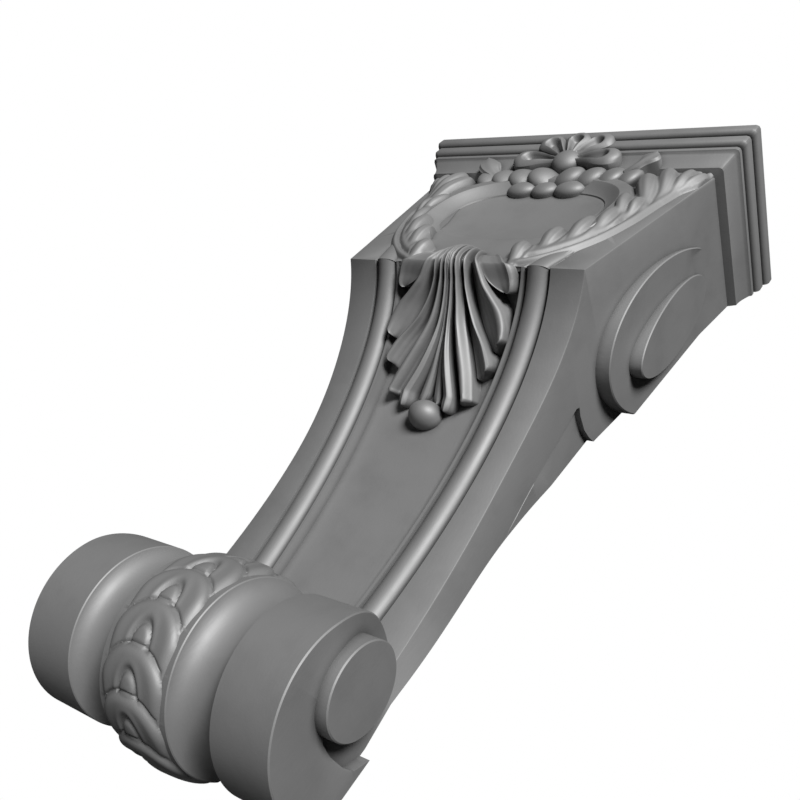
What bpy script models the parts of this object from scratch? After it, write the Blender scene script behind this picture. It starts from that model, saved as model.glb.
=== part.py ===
"""A carved scroll bracket for a wall: moulded cap, oval panel under a rosette, fanned leaf, reeded neck and rolled foot.

The wall is the plane Y = 0, the front looks towards -Y and the cap is at the top. The origin is on the flat back,
WALL_POINT_DROP below the top of the cap. Heights are given as a drop, the distance down from the top of the cap.
"""

import math

import bmesh
import bpy
import numpy as np
from mathutils import Vector

# Driving dimensions in metres
WALL_POINT_DROP = 0.100
CAP_HALF_WIDTH = 0.100
CAP_DEPTH = 0.0902
CAP_CORNER_CUT = 0.0022
CAP_BURY = 0.012

# Cap moulding: the top plate, the round under it, the ogee and the soffit, each with its inset and its foot
PLATE_FOOT = 0.0073
PLATE_ROUND = 0.0030
PLATE_GROOVE = 0.0012
GROOVE_SINK = 0.0030
ROUND_INSET = 0.0024
ROUND_FOOT = 0.0155
ROUND_SIZE = 0.0028
OGEE_INSET = 0.0048
OGEE_NECK = 0.0050
OGEE_FOOT = 0.0305
SOFFIT_RISE = 0.0018

# Block under the cap, with the oval panel on its front
BLOCK_TOP_HALF_WIDTH = 0.0862
BLOCK_TOP_DEPTH = 0.0757
BEND_DROP = 0.1450
FLARE = 0.1582
FLARE_END_DROP = 0.2158
FLARE_EASE = 0.0305

# Neck: its front is a quarter of an ellipse that ends near the wall
NECK_WAIST = 0.0066
NECK_WAIST_DROP = 0.3663
NECK_CURVE_DEPTH = 0.0942
NECK_CROWN_RISE = 0.0036
NECK_CURVE_HEIGHT = NECK_WAIST_DROP - BEND_DROP + NECK_CROWN_RISE
NECK_END_DROP = 0.3290
NECK_FOOT = [(0.3380, 0.0150, 0.0570), (0.3490, 0.0325, 0.0598), (0.3600, 0.0340, 0.0612), (0.3680, 0.0270, 0.0612)]
REED_TOP_X = 0.0442
REED_LEAN = 0.070
REED_HALF_WIDTH = 0.0060
REED_RISE = 0.0024
REED_GROOVE = 0.0022
REED_GROOVE_WIDTH = 0.0012
REED_RUN_UP = 0.0260
PANEL_SINK_TOP = 0.0085
PANEL_SINK_FOOT = 0.0045
WEB_SINK = 0.0032
FOOT_RAMP = 0.0062

# Roll at the foot
ROLL_DEPTH = 0.0243
ROLL_DROP = 0.3540
ROLL_RADIUS = 0.0372
ROLL_DISC_INNER_X = 0.0394
ROLL_DISC_OUTER_X = 0.0600
ROLL_RIM_X = 0.0672
ROLL_BAND_HALF_WIDTH = 0.0187
ROLL_BAND_RADIUS = 0.0384
ROLL_COVE_SINK = 0.0075
ROLL_EYE_DEPTH = 0.0330
ROLL_EYE_DROP = 0.3462
ROLL_EYE_HALF_DEPTH = 0.0165
ROLL_EYE_HALF_HEIGHT = 0.0190
ROLL_EYE_X = 0.0722
SCALE_STEP = math.radians(24.8)
SCALE_FIRST = math.radians(63.2)
SCALE_COUNT = 10
SCALE_SPAN = 36.0

# Scroll on each side of the block
DISC_DEPTH = 0.0202
DISC_DROP = 0.0905
DISC_HALF_DEPTH = 0.0383
DISC_HALF_HEIGHT = 0.0620
DISC_TILT = -0.167
DISC_TOP_X = 0.0835
DISC_FALL = 0.090
EYE_DEPTH = 0.0247
EYE_DROP = 0.0926
EYE_HALF_DEPTH = 0.0160
EYE_HALF_HEIGHT = 0.0427
EYE_X = 0.0830

# Oval panel
OVAL_DROP = 0.0825
OVAL_HALF_WIDTH = 0.0515
OVAL_HALF_HEIGHT = 0.0385
OVAL_SQUARENESS = 2.65
OVAL_RISE = 0.0050
OVAL_FRAME = 0.0070
OVAL_MARGIN = 0.0060
OVAL_DISH = 0.0030
OVAL_LOW = -0.0005

# Rosette
ROSETTE_DEPTH = 0.0826
ROSETTE_DROP = 0.0252
ROSETTE_HALF_WIDTH = 0.0330
ROSETTE_HALF_HEIGHT = 0.0252
ROSETTE_LEAN = 0.15
ROSETTE_PETALS = 8
ROSETTE_SHOWN = 5
PETAL_HALF_WIDTH = 0.0078
PETAL_RISE = 0.0066
PETAL_HOLLOW = 0.0044
ROSETTE_BUTTON = 0.0086
ROSETTE_BUTTON_RISE = 0.0066
ROSETTE_BURY = 0.0095

# How deep carving is rooted in the surface that carries it; each next piece goes a little deeper than the last
ROOT = 0.0040
ROOT_STAGGER = 0.00013
rooted = []

TOP = WALL_POINT_DROP
BACK_SPARE = 0.0060


def mix(a, b, t):
    return a + (b - a) * t


def smooth(t):
    t = min(max(t, 0.0), 1.0)
    return t * t * (3.0 - 2.0 * t)


def point(x, depth, drop):
    """A place in the part's frame from its distance to the wall and its drop below the cap's top."""
    return Vector((x, -depth, TOP - drop))


def half_width(drop):
    """Half the width between the side faces, which flare towards the cap."""
    up = FLARE_END_DROP - drop
    return 0.05668 + FLARE * 0.5 * (up + math.hypot(up, FLARE_EASE))


def neck_angle(drop):
    return math.acos((NECK_WAIST_DROP - drop) / NECK_CURVE_HEIGHT)


def neck_depth(drop):
    return NECK_WAIST + NECK_CURVE_DEPTH * (1.0 - math.sin(neck_angle(drop)))


BEND_DEPTH = neck_depth(BEND_DROP)
BEND_ANGLE = neck_angle(BEND_DROP)
NECK_END_ANGLE = neck_angle(NECK_END_DROP)
FACE_SLOPE = (BEND_DEPTH - BLOCK_TOP_DEPTH) / (BEND_DROP - OGEE_FOOT)
FACE_RUN = math.hypot(1.0, FACE_SLOPE)


def neck_point(angle):
    depth = NECK_WAIST + NECK_CURVE_DEPTH * (1.0 - math.sin(angle))
    drop = NECK_WAIST_DROP - NECK_CURVE_HEIGHT * math.cos(angle)
    return depth, drop


def neck_normal(angle):
    """The outward normal of the neck's front as a pair, depth and drop."""
    along = (-NECK_CURVE_DEPTH * math.cos(angle), NECK_CURVE_HEIGHT * math.sin(angle))
    size = math.hypot(*along)
    return along[1] / size, -along[0] / size


NECK_ANGLES = np.linspace(BEND_ANGLE, NECK_END_ANGLE, 200)
NECK_PLACES = np.array([neck_point(a) for a in NECK_ANGLES])
NECK_RUNS = np.concatenate([[0.0], np.cumsum(np.hypot(*np.diff(NECK_PLACES, axis=0).T))])


def front(x, run, rise):
    """A place on the front: run is measured down from the bend, negative up the block, and rise is outwards."""
    face_normal = (1.0 / FACE_RUN, FACE_SLOPE / FACE_RUN)
    if run <= 0.0:
        depth = BEND_DEPTH + run * FACE_SLOPE / FACE_RUN
        drop = BEND_DROP + run / FACE_RUN
        neck_side = neck_normal(BEND_ANGLE)
    else:
        angle = float(np.interp(run, NECK_RUNS, NECK_ANGLES))
        depth, drop = neck_point(angle)
        neck_side = neck_normal(angle)
    turn = smooth(run / 0.024 + 0.5)
    normal = [mix(face_normal[i], neck_side[i], turn) for i in (0, 1)]
    size = math.hypot(*normal)
    return point(x, depth + rise * normal[0] / size, drop + rise * normal[1] / size)


def run_of(drop):
    """The run on the front at a drop on the block."""
    return (drop - BEND_DROP) * FACE_RUN


def roll(x, angle, radius):
    """A place around the roll; the angle is 90 degrees at its top and 180 at its front."""
    return point(x, ROLL_DEPTH - radius * math.cos(angle), ROLL_DROP - radius * math.sin(angle))


def solid(name, verts, faces):
    """A closed mesh object with its faces turned outwards."""
    mesh = bpy.data.meshes.new(name)
    mesh.from_pydata([tuple(v) for v in verts], [], faces)
    shape = bmesh.new()
    shape.from_mesh(mesh)
    bmesh.ops.remove_doubles(shape, verts=shape.verts, dist=1e-6)
    bmesh.ops.dissolve_degenerate(shape, dist=1e-6, edges=shape.edges)
    bmesh.ops.recalc_face_normals(shape, faces=shape.faces)
    shape.to_mesh(mesh)
    shape.free()
    thing = bpy.data.objects.new(name, mesh)
    bpy.context.scene.collection.objects.link(thing)
    return thing


def loft(name, rings):
    """A solid through rings of the same number of points, with flat ends."""
    count = len(rings[0])
    verts = [p for ring in rings for p in ring]
    faces = []
    for i in range(len(rings) - 1):
        for j in range(count):
            k = (j + 1) % count
            faces.append((i * count + j, i * count + k, (i + 1) * count + k, (i + 1) * count + j))
    faces.append(tuple(range(count)))
    faces.append(tuple(range((len(rings) - 1) * count, len(rings) * count)))
    return solid(name, verts, faces)


def leaf(name, surface, path, half, rise, steps, across, neck=0.4, belly=0.62, hollow=0.0, edge=0.35, sink=ROOT):
    """A piece of relief on a surface along a path of places, each with its lift.

    half is half the width at the belly, neck the share of it at the start, rise the height of the rounded middle and
    hollow the depth of the dish in it. The piece is rooted sink below the surface.
    """
    rooted.append(name)
    sink += ROOT_STAGGER * (len(rooted) % 13)
    knots = np.linspace(0.0, 1.0, len(path))
    places = np.array(path)

    def centre(t):
        return np.array([np.interp(t, knots, places[:, i]) for i in range(3)])

    rows = []
    for i in range(steps + 1):
        t = 0.985 * math.sin(0.5 * math.pi * i / steps)
        here = centre(t)
        ahead = centre(min(t + 0.06, 1.0)) - centre(max(t - 0.06, 0.0))
        side = np.array((ahead[1], -ahead[0])) / math.hypot(ahead[0], ahead[1])
        if t < belly:
            wide = half * mix(neck, 1.0, smooth(t / belly))
        else:
            wide = half * math.sqrt(max(1.0 - ((t - belly) / (1.0 - belly)) ** 2, 0.0))
        tops = []
        for j in range(across + 1):
            u = -math.cos(math.pi * j / across)
            crown = edge + (1.0 - edge) * math.sqrt(max(1.0 - u * u, 0.0))
            dish = hollow * (1.0 - u * u) ** 2 * math.sin(math.pi * min(max(t, 0.0), 1.0)) ** 0.7
            spot = here[:2] + side * wide * u
            tops.append(surface(spot[0], spot[1], here[2] + rise * crown * mix(0.55, 1.0, smooth(1.35 * t)) - dish))
        roots = [surface(*(here[:2] + side * wide * u), -sink) for u in (1.0, -1.0)]
        rows.append(tops + roots)
    return loft(name, rows)


def reed_x(drop):
    return REED_TOP_X - REED_LEAN * (drop - BEND_DROP)


def core():
    """The block, the neck with its bands, reeds and sunk panel, and its end inside the roll."""
    arc = [math.radians(a) for a in (0, 36, 72, 108, 144, 180)]
    rings = []

    def ring(surface_run, drop, panel, groove, reed):
        edge = half_width(drop)
        centre = reed_x(drop)
        outer = centre + REED_HALF_WIDTH
        inner = centre - REED_HALF_WIDTH
        right = [(edge, 0.0), (outer + REED_GROOVE_WIDTH, 0.0)]
        for a in arc:
            right.append((centre + REED_HALF_WIDTH * math.cos(a), (reed + groove) * math.sin(a) - groove))
        right.append((inner - REED_GROOVE_WIDTH, -panel))
        left = [(-x, rise) for x, rise in right]
        across = left + right[::-1]
        back_x = edge + FOOT_RAMP * smooth((drop - 0.235) / 0.085)
        row = [front(x, surface_run, rise) for x, rise in across]
        row.append(point(back_x, -BACK_SPARE, drop))
        row.append(point(-back_x, -BACK_SPARE, drop))
        return row

    for share in (0.0, 0.55, 1.0):
        drop = mix(OGEE_FOOT - 0.006, BEND_DROP - REED_RUN_UP, share)
        rings.append(ring(run_of(drop), drop, 0.0, 0.0, 0.0))
    rings.append(ring(run_of(BEND_DROP - 0.4 * REED_RUN_UP), BEND_DROP - 0.4 * REED_RUN_UP, 0.0, 0.0, 0.7 * REED_RISE))
    rings.append(ring(0.0, BEND_DROP, 0.0, 0.0, REED_RISE))
    steps = 18
    for i in range(steps + 1):
        run = NECK_RUNS[-1] * i / steps
        angle = float(np.interp(run, NECK_RUNS, NECK_ANGLES))
        drop = neck_point(angle)[1]
        sink = mix(PANEL_SINK_TOP, PANEL_SINK_FOOT, i / steps)
        rings.append(ring(run, drop, sink, REED_GROOVE, REED_RISE))
    count = len(rings[0]) - 2
    for drop, depth, edge in NECK_FOOT:
        row = [point(edge * mix(-1.0, 1.0, i / (count - 1)), depth, drop) for i in range(count)]
        back_x = half_width(drop) + FOOT_RAMP
        row.append(point(back_x, -BACK_SPARE, drop))
        row.append(point(-back_x, -BACK_SPARE, drop))
        rings.append(row)
    return loft("core", rings)


def cap_profile():
    """Inset and drop down the moulding, from the top to where it dies into the block."""
    rows = [(0.0006, 0.0), (0.0, 0.0006), (0.0, PLATE_FOOT - PLATE_ROUND)]
    rows += [(PLATE_ROUND * (1 - math.cos(a)), PLATE_FOOT - PLATE_ROUND * (1 - math.sin(a)))
             for a in (math.radians(30), math.radians(60), math.radians(90))]
    rows += [(GROOVE_SINK + ROUND_INSET, PLATE_FOOT), (GROOVE_SINK + ROUND_INSET, PLATE_FOOT + PLATE_GROOVE)]
    rows += [(ROUND_INSET, PLATE_FOOT + PLATE_GROOVE), (ROUND_INSET, ROUND_FOOT - ROUND_SIZE)]
    rows += [(ROUND_INSET + ROUND_SIZE * (1 - math.cos(a)), ROUND_FOOT - ROUND_SIZE * (1 - math.sin(a)))
             for a in (math.radians(30), math.radians(60), math.radians(90))]
    rows += [(OGEE_INSET + 0.0012, ROUND_FOOT), (OGEE_INSET, ROUND_FOOT + 0.0012), (OGEE_INSET, ROUND_FOOT + 0.0040)]
    rows += [(OGEE_INSET + 0.0014, ROUND_FOOT + 0.0048)]
    for share in (0.25, 0.5, 0.75, 1.0):
        inset = OGEE_INSET + 0.0014 + (OGEE_NECK - 0.0014) * math.sin(share * math.pi / 2)
        rows.append((inset, mix(ROUND_FOOT + 0.0048, OGEE_FOOT, share)))
    rows += [(CAP_HALF_WIDTH - BLOCK_TOP_HALF_WIDTH + 0.0006, OGEE_FOOT + SOFFIT_RISE)]
    return rows + [(CAP_HALF_WIDTH - BLOCK_TOP_HALF_WIDTH + CAP_BURY, OGEE_FOOT + SOFFIT_RISE)]


def cap():
    rings = []
    for inset, drop in cap_profile():
        x = CAP_HALF_WIDTH - inset
        depth = CAP_DEPTH - inset
        cut = CAP_CORNER_CUT
        right = [(x, -BACK_SPARE), (x, depth - cut), (x - 0.30 * cut, depth - 0.30 * cut), (x - cut, depth)]
        ring = [point(px, py, drop) for px, py in right]
        ring += [point(-px, py, drop) for px, py in reversed(right)]
        rings.append(ring)
    return loft("cap", rings)


def roll_body():
    """The turned roll: a disc at each end, a cove beside it and the band in the middle."""
    cove_middle = (ROLL_BAND_HALF_WIDTH + ROLL_DISC_INNER_X) / 2
    cove_half = (ROLL_DISC_INNER_X - ROLL_BAND_HALF_WIDTH) / 2
    half = [(ROLL_BAND_HALF_WIDTH, ROLL_BAND_RADIUS)]
    for share in (-0.72, -0.25, 0.3, 0.78):
        hollow = ROLL_COVE_SINK * math.sqrt(1 - share * share)
        half.append((cove_middle + share * cove_half, mix(ROLL_BAND_RADIUS, ROLL_RADIUS, (share + 1) / 2) - hollow))
    half += [(ROLL_DISC_INNER_X, ROLL_RADIUS)]
    profile = [(-x, r) for x, r in reversed(half)] + half
    around = 40
    angles = [2 * math.pi * k / around for k in range(around)]
    rings = [[roll(x, a, r) for a in angles] for x, r in profile]
    side = [[roll(roll_side_x(a), a, r) for a in angles] for r in (ROLL_RADIUS, ROLL_RADIUS * 0.55)]
    side.append([roll(ROLL_RIM_X - 0.004, a, 0.002) for a in angles])
    mirrored = [[Vector((-v.x, v.y, v.z)) for v in ring] for ring in reversed(side)]
    return loft("roll_body", mirrored + rings + side)


def roll_side_x(angle):
    """The side of the end disc climbs from the neck to the full rim as the scroll turns."""
    turned = (math.degrees(angle) - 40.0) % 360.0 + 40.0
    return mix(ROLL_DISC_OUTER_X - 0.0022, ROLL_RIM_X, smooth((turned - 78.0) / 86.0))


def roll_notch(side):
    """The place in the end disc that the neck's side runs into, as far as the step under the eye."""
    outline = [(-0.010, 0.3120), (0.0080, 0.3150), (0.0150, 0.3250), (0.0240, 0.3350), (0.0310, 0.3440)]
    outline += [(0.0300, 0.3560), (0.0260, 0.3640), (0.0241, 0.3651), (0.0173, 0.3649), (0.0093, 0.3629)]
    outline += [(0.0038, 0.3598), (-0.0006, 0.3509), (-0.010, 0.3380)]
    rings = [[point(side * x, depth, drop) for depth, drop in outline] for x in (0.050, 0.080)]
    return loft("roll_notch", rings)


def oval_ring(half_depth, half_height, tilt, depth, drop, top_x, low_x, side, steps=40):
    """The two rings of an oval stud on a side face; top_x gives its height at each drop."""
    tops = []
    lows = []
    for k in range(steps):
        angle = 2 * math.pi * k / steps
        out = half_depth * math.cos(angle)
        up = half_height * math.sin(angle)
        here = depth + out * math.cos(tilt) + up * math.sin(tilt)
        fall = drop - (up * math.cos(tilt) - out * math.sin(tilt))
        tops.append(point(side * top_x(fall), here, fall))
        lows.append(point(side * low_x, here, fall))
    return [lows, tops]


def side_disc(side):
    def top_x(drop):
        return DISC_TOP_X - DISC_FALL * max(drop - 0.055, 0.0) - 0.0020 * smooth((0.060 - drop) / 0.03)

    rings = oval_ring(DISC_HALF_DEPTH, DISC_HALF_HEIGHT, DISC_TILT, DISC_DEPTH, DISC_DROP, top_x, 0.05, side)
    return loft("side_disc", rings)


def side_eye(side):
    rings = oval_ring(EYE_HALF_DEPTH, EYE_HALF_HEIGHT, 0.0, EYE_DEPTH, EYE_DROP, lambda drop: EYE_X, 0.05, side, 28)
    return loft("side_eye", rings)


def roll_eye(side):
    rings = oval_ring(ROLL_EYE_HALF_DEPTH, ROLL_EYE_HALF_HEIGHT, 0.0, ROLL_EYE_DEPTH, ROLL_EYE_DROP,
                      lambda drop: ROLL_EYE_X, ROLL_DISC_OUTER_X - 0.012, side, 28)
    return loft("roll_eye", rings)


def web_cutter(side):
    """Sinks the web behind the neck, between the scroll's end on the block and the wall."""
    end = [(-0.010, 0.1560), (0.0043, 0.1645), (0.0103, 0.1667), (0.0190, 0.1674), (0.0235, 0.1668), (0.0241, 0.1690)]
    line = [(0.0183, 0.1842), (0.0122, 0.2017), (0.0059, 0.2195), (0.0008, 0.2352), (-0.010, 0.2600)]
    outline = end + line
    inner = [point(side * (half_width(max(drop, 0.1616)) - WEB_SINK * min((0.2380 - drop) / 0.0750, 1.1)), depth, drop)
             for depth, drop in outline]
    outer = [point(side * 0.12, depth, drop) for depth, drop in outline]
    return loft("web_cutter", [inner, outer])


def oval_place(angle, half_width_, half_height_):
    """A point of the squarish oval on the block, as x and run."""
    c = math.cos(angle)
    s = math.sin(angle)
    power = 2.0 / OVAL_SQUARENESS
    x = half_width_ * math.copysign(abs(c) ** power, c)
    z = half_height_ * math.copysign(abs(s) ** power, s)
    return x, run_of(OVAL_DROP) - z


def oval_level(run, half_height_, rise):
    """The frame's height at a run; the frame sinks into the block at its lower end."""
    up = (run_of(OVAL_DROP) - run) / half_height_
    return mix(OVAL_LOW, rise, smooth((up + 0.92) / 0.50)) if rise > OVAL_LOW else rise


def oval_frame():
    """The raised oval: a chamfered outside, a flat margin, a cove and a dished floor, on one rooted plinth."""
    around = 36
    levels = [(OVAL_MARGIN + 0.004, -ROOT - OVAL_DISH), (OVAL_MARGIN + 0.004, 0.0), (OVAL_MARGIN, OVAL_RISE)]
    levels += [(0.0, OVAL_RISE), (-0.30 * OVAL_FRAME, 0.45 * OVAL_RISE), (-0.62 * OVAL_FRAME, 0.12 * OVAL_RISE)]
    levels += [(-OVAL_FRAME, 0.0), (-OVAL_FRAME - 0.0008, -0.0008)]
    rings = []
    for spread, rise in levels:
        ring = [oval_place(2 * math.pi * (k + 0.5) / around, OVAL_HALF_WIDTH + spread, OVAL_HALF_HEIGHT + spread)
                for k in range(around)]
        rings.append([front(x, run, oval_level(run, OVAL_HALF_HEIGHT + spread, rise)) for x, run in ring])
    for share in (0.60,):
        wide = (OVAL_HALF_WIDTH - OVAL_FRAME) * share
        tall = (OVAL_HALF_HEIGHT - OVAL_FRAME) * share
        ring = [oval_place(2 * math.pi * (k + 0.5) / around, wide, tall) for k in range(around)]
        rings.append([front(x, run, -0.0008 - OVAL_DISH * (1 - share * share)) for x, run in ring])
    return loft("oval_frame", rings)


def oval_cutter():
    """Clears the block under the dished floor."""
    around = 36
    rings = []
    for spread, rise in ((0.0012, -OVAL_DISH - 0.5 * ROOT), (0.0012, ROOT)):
        ring = [oval_place(2 * math.pi * (k + 0.5) / around, OVAL_HALF_WIDTH + spread, OVAL_HALF_HEIGHT + spread)
                for k in range(around)]
        rings.append([front(x, run, rise) for x, run in ring])
    return loft("oval_cutter", rings)


def rosette_place(x, up, rise):
    """A place on the rosette, which stands almost upright before the cap's moulding."""
    depth = ROSETTE_DEPTH + ROSETTE_LEAN * up
    return point(x, depth + 0.95 * rise, ROSETTE_DROP - up + 0.12 * max(rise, 0.0))


def dome(name, surface, x, y, half_x, half_y, rise, lean, sink, around=12):
    """An egg-shaped boss on a surface, with its top moved sideways by its lean."""
    rooted.append(name)
    sink += ROOT_STAGGER * (len(rooted) % 13)
    turns = [2 * math.pi * k / around for k in range(around)]
    rings = [[surface(x + half_x * math.cos(b), y + half_y * math.sin(b), -sink) for b in turns]]
    for a in (0.0, 28.0, 56.0, 80.0):
        r = math.cos(math.radians(a)) ** 0.9
        up = math.sin(math.radians(a))
        rings.append([surface(x + lean * up + half_x * r * math.cos(b), y + half_y * r * math.sin(b), rise * up)
                      for b in turns])
    return loft(name, rings)


def rosette():
    """Dished petals around a domed button; the lowest petals are under the calyx."""
    pieces = []
    for k in range(ROSETTE_SHOWN):
        turn = 2 * math.pi * k / ROSETTE_PETALS
        out = (ROSETTE_HALF_WIDTH * math.cos(turn), ROSETTE_HALF_HEIGHT * math.sin(turn))
        path = [(0.15 * out[0], 0.15 * out[1], 0.0), (out[0], out[1], 0.0)]
        pieces.append(leaf("petal", rosette_place, path, PETAL_HALF_WIDTH, PETAL_RISE, 5, 6, 0.3, 0.70, PETAL_HOLLOW,
                           0.45, ROSETTE_BURY))
    pieces.append(dome("button", rosette_place, 0.0, 0.0, ROSETTE_BUTTON, ROSETTE_BUTTON, ROSETTE_BUTTON_RISE, 0.0,
                       ROSETTE_BURY, 14))
    return pieces


def fall(*places):
    """A path on the block from places given as x, drop and lift."""
    return [(x, run_of(drop), lift) for x, drop, lift in places]


# The lobes under the rosette: the distance from the middle, the half width and the rise of each pair
CALYX = [(0.0064, 0.0094, 0.0092), (0.0190, 0.0092, 0.0086), (0.0305, 0.0088, 0.0080), (0.0412, 0.0078, 0.0074)]
CALYX_DROP = 0.0382
CALYX_HALF_HEIGHT = 0.0112
CALYX_LEAN = 0.0048
# The drops over the oval's rim: x, half width and rise
DROPS = [(-0.0170, 0.0092, 0.0050), (-0.0025, 0.0082, 0.0046), (0.0128, 0.0094, 0.0052)]
DROPS_DROP = 0.0492
DROPS_HALF_HEIGHT = 0.0074


def calyx():
    """The row of lobes under the rosette, the drops over the oval's rim and the two side tips."""
    pieces = []
    for side in (-1.0, 1.0):
        for x, half, rise in CALYX:
            pieces.append(dome("lobe", front, side * x, run_of(CALYX_DROP), half, CALYX_HALF_HEIGHT, rise,
                               side * CALYX_LEAN, ROOT, 10))
    path = fall((0.0400, 0.0375, 0.0030), (0.0450, 0.0345, 0.0055), (0.0495, 0.0295, 0.0080), (0.0534, 0.0225, 0.0092))
    pieces.append(leaf("side_tip", front, path, 0.0062, 0.0040, 6, 4, 0.45, 0.76, 0.0, 0.35, 0.010))
    path = fall((-0.0385, 0.0375, 0.0030), (-0.0440, 0.0340, 0.0060), (-0.0485, 0.0285, 0.0080), (-0.0525, 0.0215, 0.0085))
    pieces.append(leaf("side_tip", front, path, 0.0066, 0.0036, 6, 4, 0.60, 0.60, 0.0, 0.35, 0.010))
    for x, half, rise in DROPS:
        pieces.append(dome("drop", front, x, run_of(DROPS_DROP), half, DROPS_HALF_HEIGHT, rise, 0.0012,
                           OVAL_DISH + ROOT, 10))
    return pieces


# The spray's stem in x and drop
STEM = [(0.0255, 0.1445), (0.0400, 0.1372), (0.0484, 0.1293), (0.0601, 0.1112), (0.0656, 0.0953), (0.0716, 0.0673),
        (0.0780, 0.0445), (0.0840, 0.0300)]
STEM_RISE = 0.0034
STEM_HALF_WIDTH = 0.0038
STEM_SIDE = 0.0060
# The sheet behind the stem: its reach from the stem along it, and its rise
SHEET_REACH = [0.0060, 0.0115, 0.0130, 0.0140, 0.0150, 0.0080]
SHEET_RISE = 0.0040
# Its lobes: the root's x and drop, the tip's x and drop, half width, rise and the bow of the middle line
LOBES = [(0.0300, 0.1445, 0.0290, 0.1240, 0.0066, 0.0062, 0.0006), (0.0380, 0.1345, 0.0398, 0.1075, 0.0070, 0.0072, 0.0012),
         (0.0465, 0.1260, 0.0504, 0.0935, 0.0068, 0.0074, 0.0012), (0.0545, 0.1135, 0.0570, 0.0820, 0.0062, 0.0070, 0.0012),
         (0.0605, 0.0965, 0.0545, 0.0645, 0.0060, 0.0080, 0.0012), (0.0635, 0.0915, 0.0632, 0.0685, 0.0046, 0.0066, 0.0010),
         (0.0672, 0.0790, 0.0555, 0.0385, 0.0092, 0.0090, 0.0020), (0.0705, 0.0685, 0.0640, 0.0310, 0.0078, 0.0088, 0.0022),
         (0.0715, 0.0630, 0.0765, 0.0310, 0.0050, 0.0070, 0.0014), (0.0735, 0.0580, 0.0835, 0.0335, 0.0034, 0.0052, 0.0008)]


def lobe_height(x, drop, root_x, root_drop, tip_x, tip_drop, half, rise, bow):
    """The height of a plump lobe over the block at a place, and below zero beside it."""
    length = math.hypot(tip_x - root_x, tip_drop - root_drop)
    ahead = ((tip_x - root_x) / length, (tip_drop - root_drop) / length)
    t = ((x - root_x) * ahead[0] + (drop - root_drop) * ahead[1]) / length
    away = -(x - root_x) * ahead[1] + (drop - root_drop) * ahead[0] - bow * 4 * t * (1 - t)
    reach = min(max((t - 0.66) / 0.34, 0.0), 1.0)
    end = math.sqrt(1.0 - reach * reach)
    wide = half * mix(0.42, 1.0, smooth(t / 0.62)) * max(end, 0.02)
    u = away / wide
    across = max(1.0 - u * u, 0.0) ** 0.7
    beyond = max(abs(u) - 1.0, 0.0) * wide + max(t - 1.0, 0.0) * length + max(-t, 0.0) * length
    return rise * mix(0.30, 1.0, smooth(t / 0.62)) * end ** 0.55 * across - 1.6 * beyond


def spray(side):
    """A leaf spray up one side of the oval: lobes that lie over towards the oval, on a sheet along the stem."""
    rooted.append("spray")
    steps = 38
    across = 9
    knots = np.linspace(0.0, 1.0, len(STEM))
    reaches = np.linspace(0.0, 1.0, len(SHEET_REACH))

    def stem(s):
        return np.array([np.interp(s, knots, [place[i] for place in STEM]) for i in (0, 1)])

    rows = []
    for i in range(steps + 1):
        s = i / steps
        here = stem(s)
        along = stem(min(s + 0.06, 1.0)) - stem(max(s - 0.06, 0.0))
        inward = np.array((along[1], -along[0])) / math.hypot(along[0], along[1])
        edge = float(np.interp(s, reaches, SHEET_REACH))
        row = []
        for j in range(across + 1):
            w = mix(-STEM_SIDE, mix(0.0150, 0.0260, smooth(2.0 * s)), j / across)
            x, drop = here + inward * w
            bar = STEM_RISE * (1.0 - smooth(abs(w) / (1.4 * STEM_HALF_WIDTH))) * mix(0.4, 1.0, smooth(s / 0.06))
            sheet = SHEET_RISE * smooth(w / 0.0050) * (1.0 - smooth((w - edge) / 0.0030))
            height = max([bar, sheet, -0.0004] + [lobe_height(x, drop, *sizes) for sizes in LOBES]) - 0.0008
            x = min(x, half_width(drop) - 0.0006)
            row.append((x, run_of(drop), height))
        tops = [front(side * x, run, height) for x, run, height in row]
        roots = [front(side * x, run, -ROOT - ROOT_STAGGER * (len(rooted) % 13)) for x, run, _ in (row[-1], row[0])]
        rows.append(tops + roots)
    return [loft("spray", rows)]


# The fanned leaf's ridges in section: run on the front and level over it
FAN_LINE = [(-0.0190, -0.0050), (-0.0140, 0.0016), (-0.0085, 0.0057), (0.0, 0.0067), (0.0080, 0.0052), (0.0160, 0.0044),
            (0.0300, 0.0032), (0.0450, 0.0022), (0.0600, -0.0003), (0.0700, -0.0024), (0.0850, -0.0050)]
FAN_TOP_RUN = -0.0165
FAN_SINK = 0.0125
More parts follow.
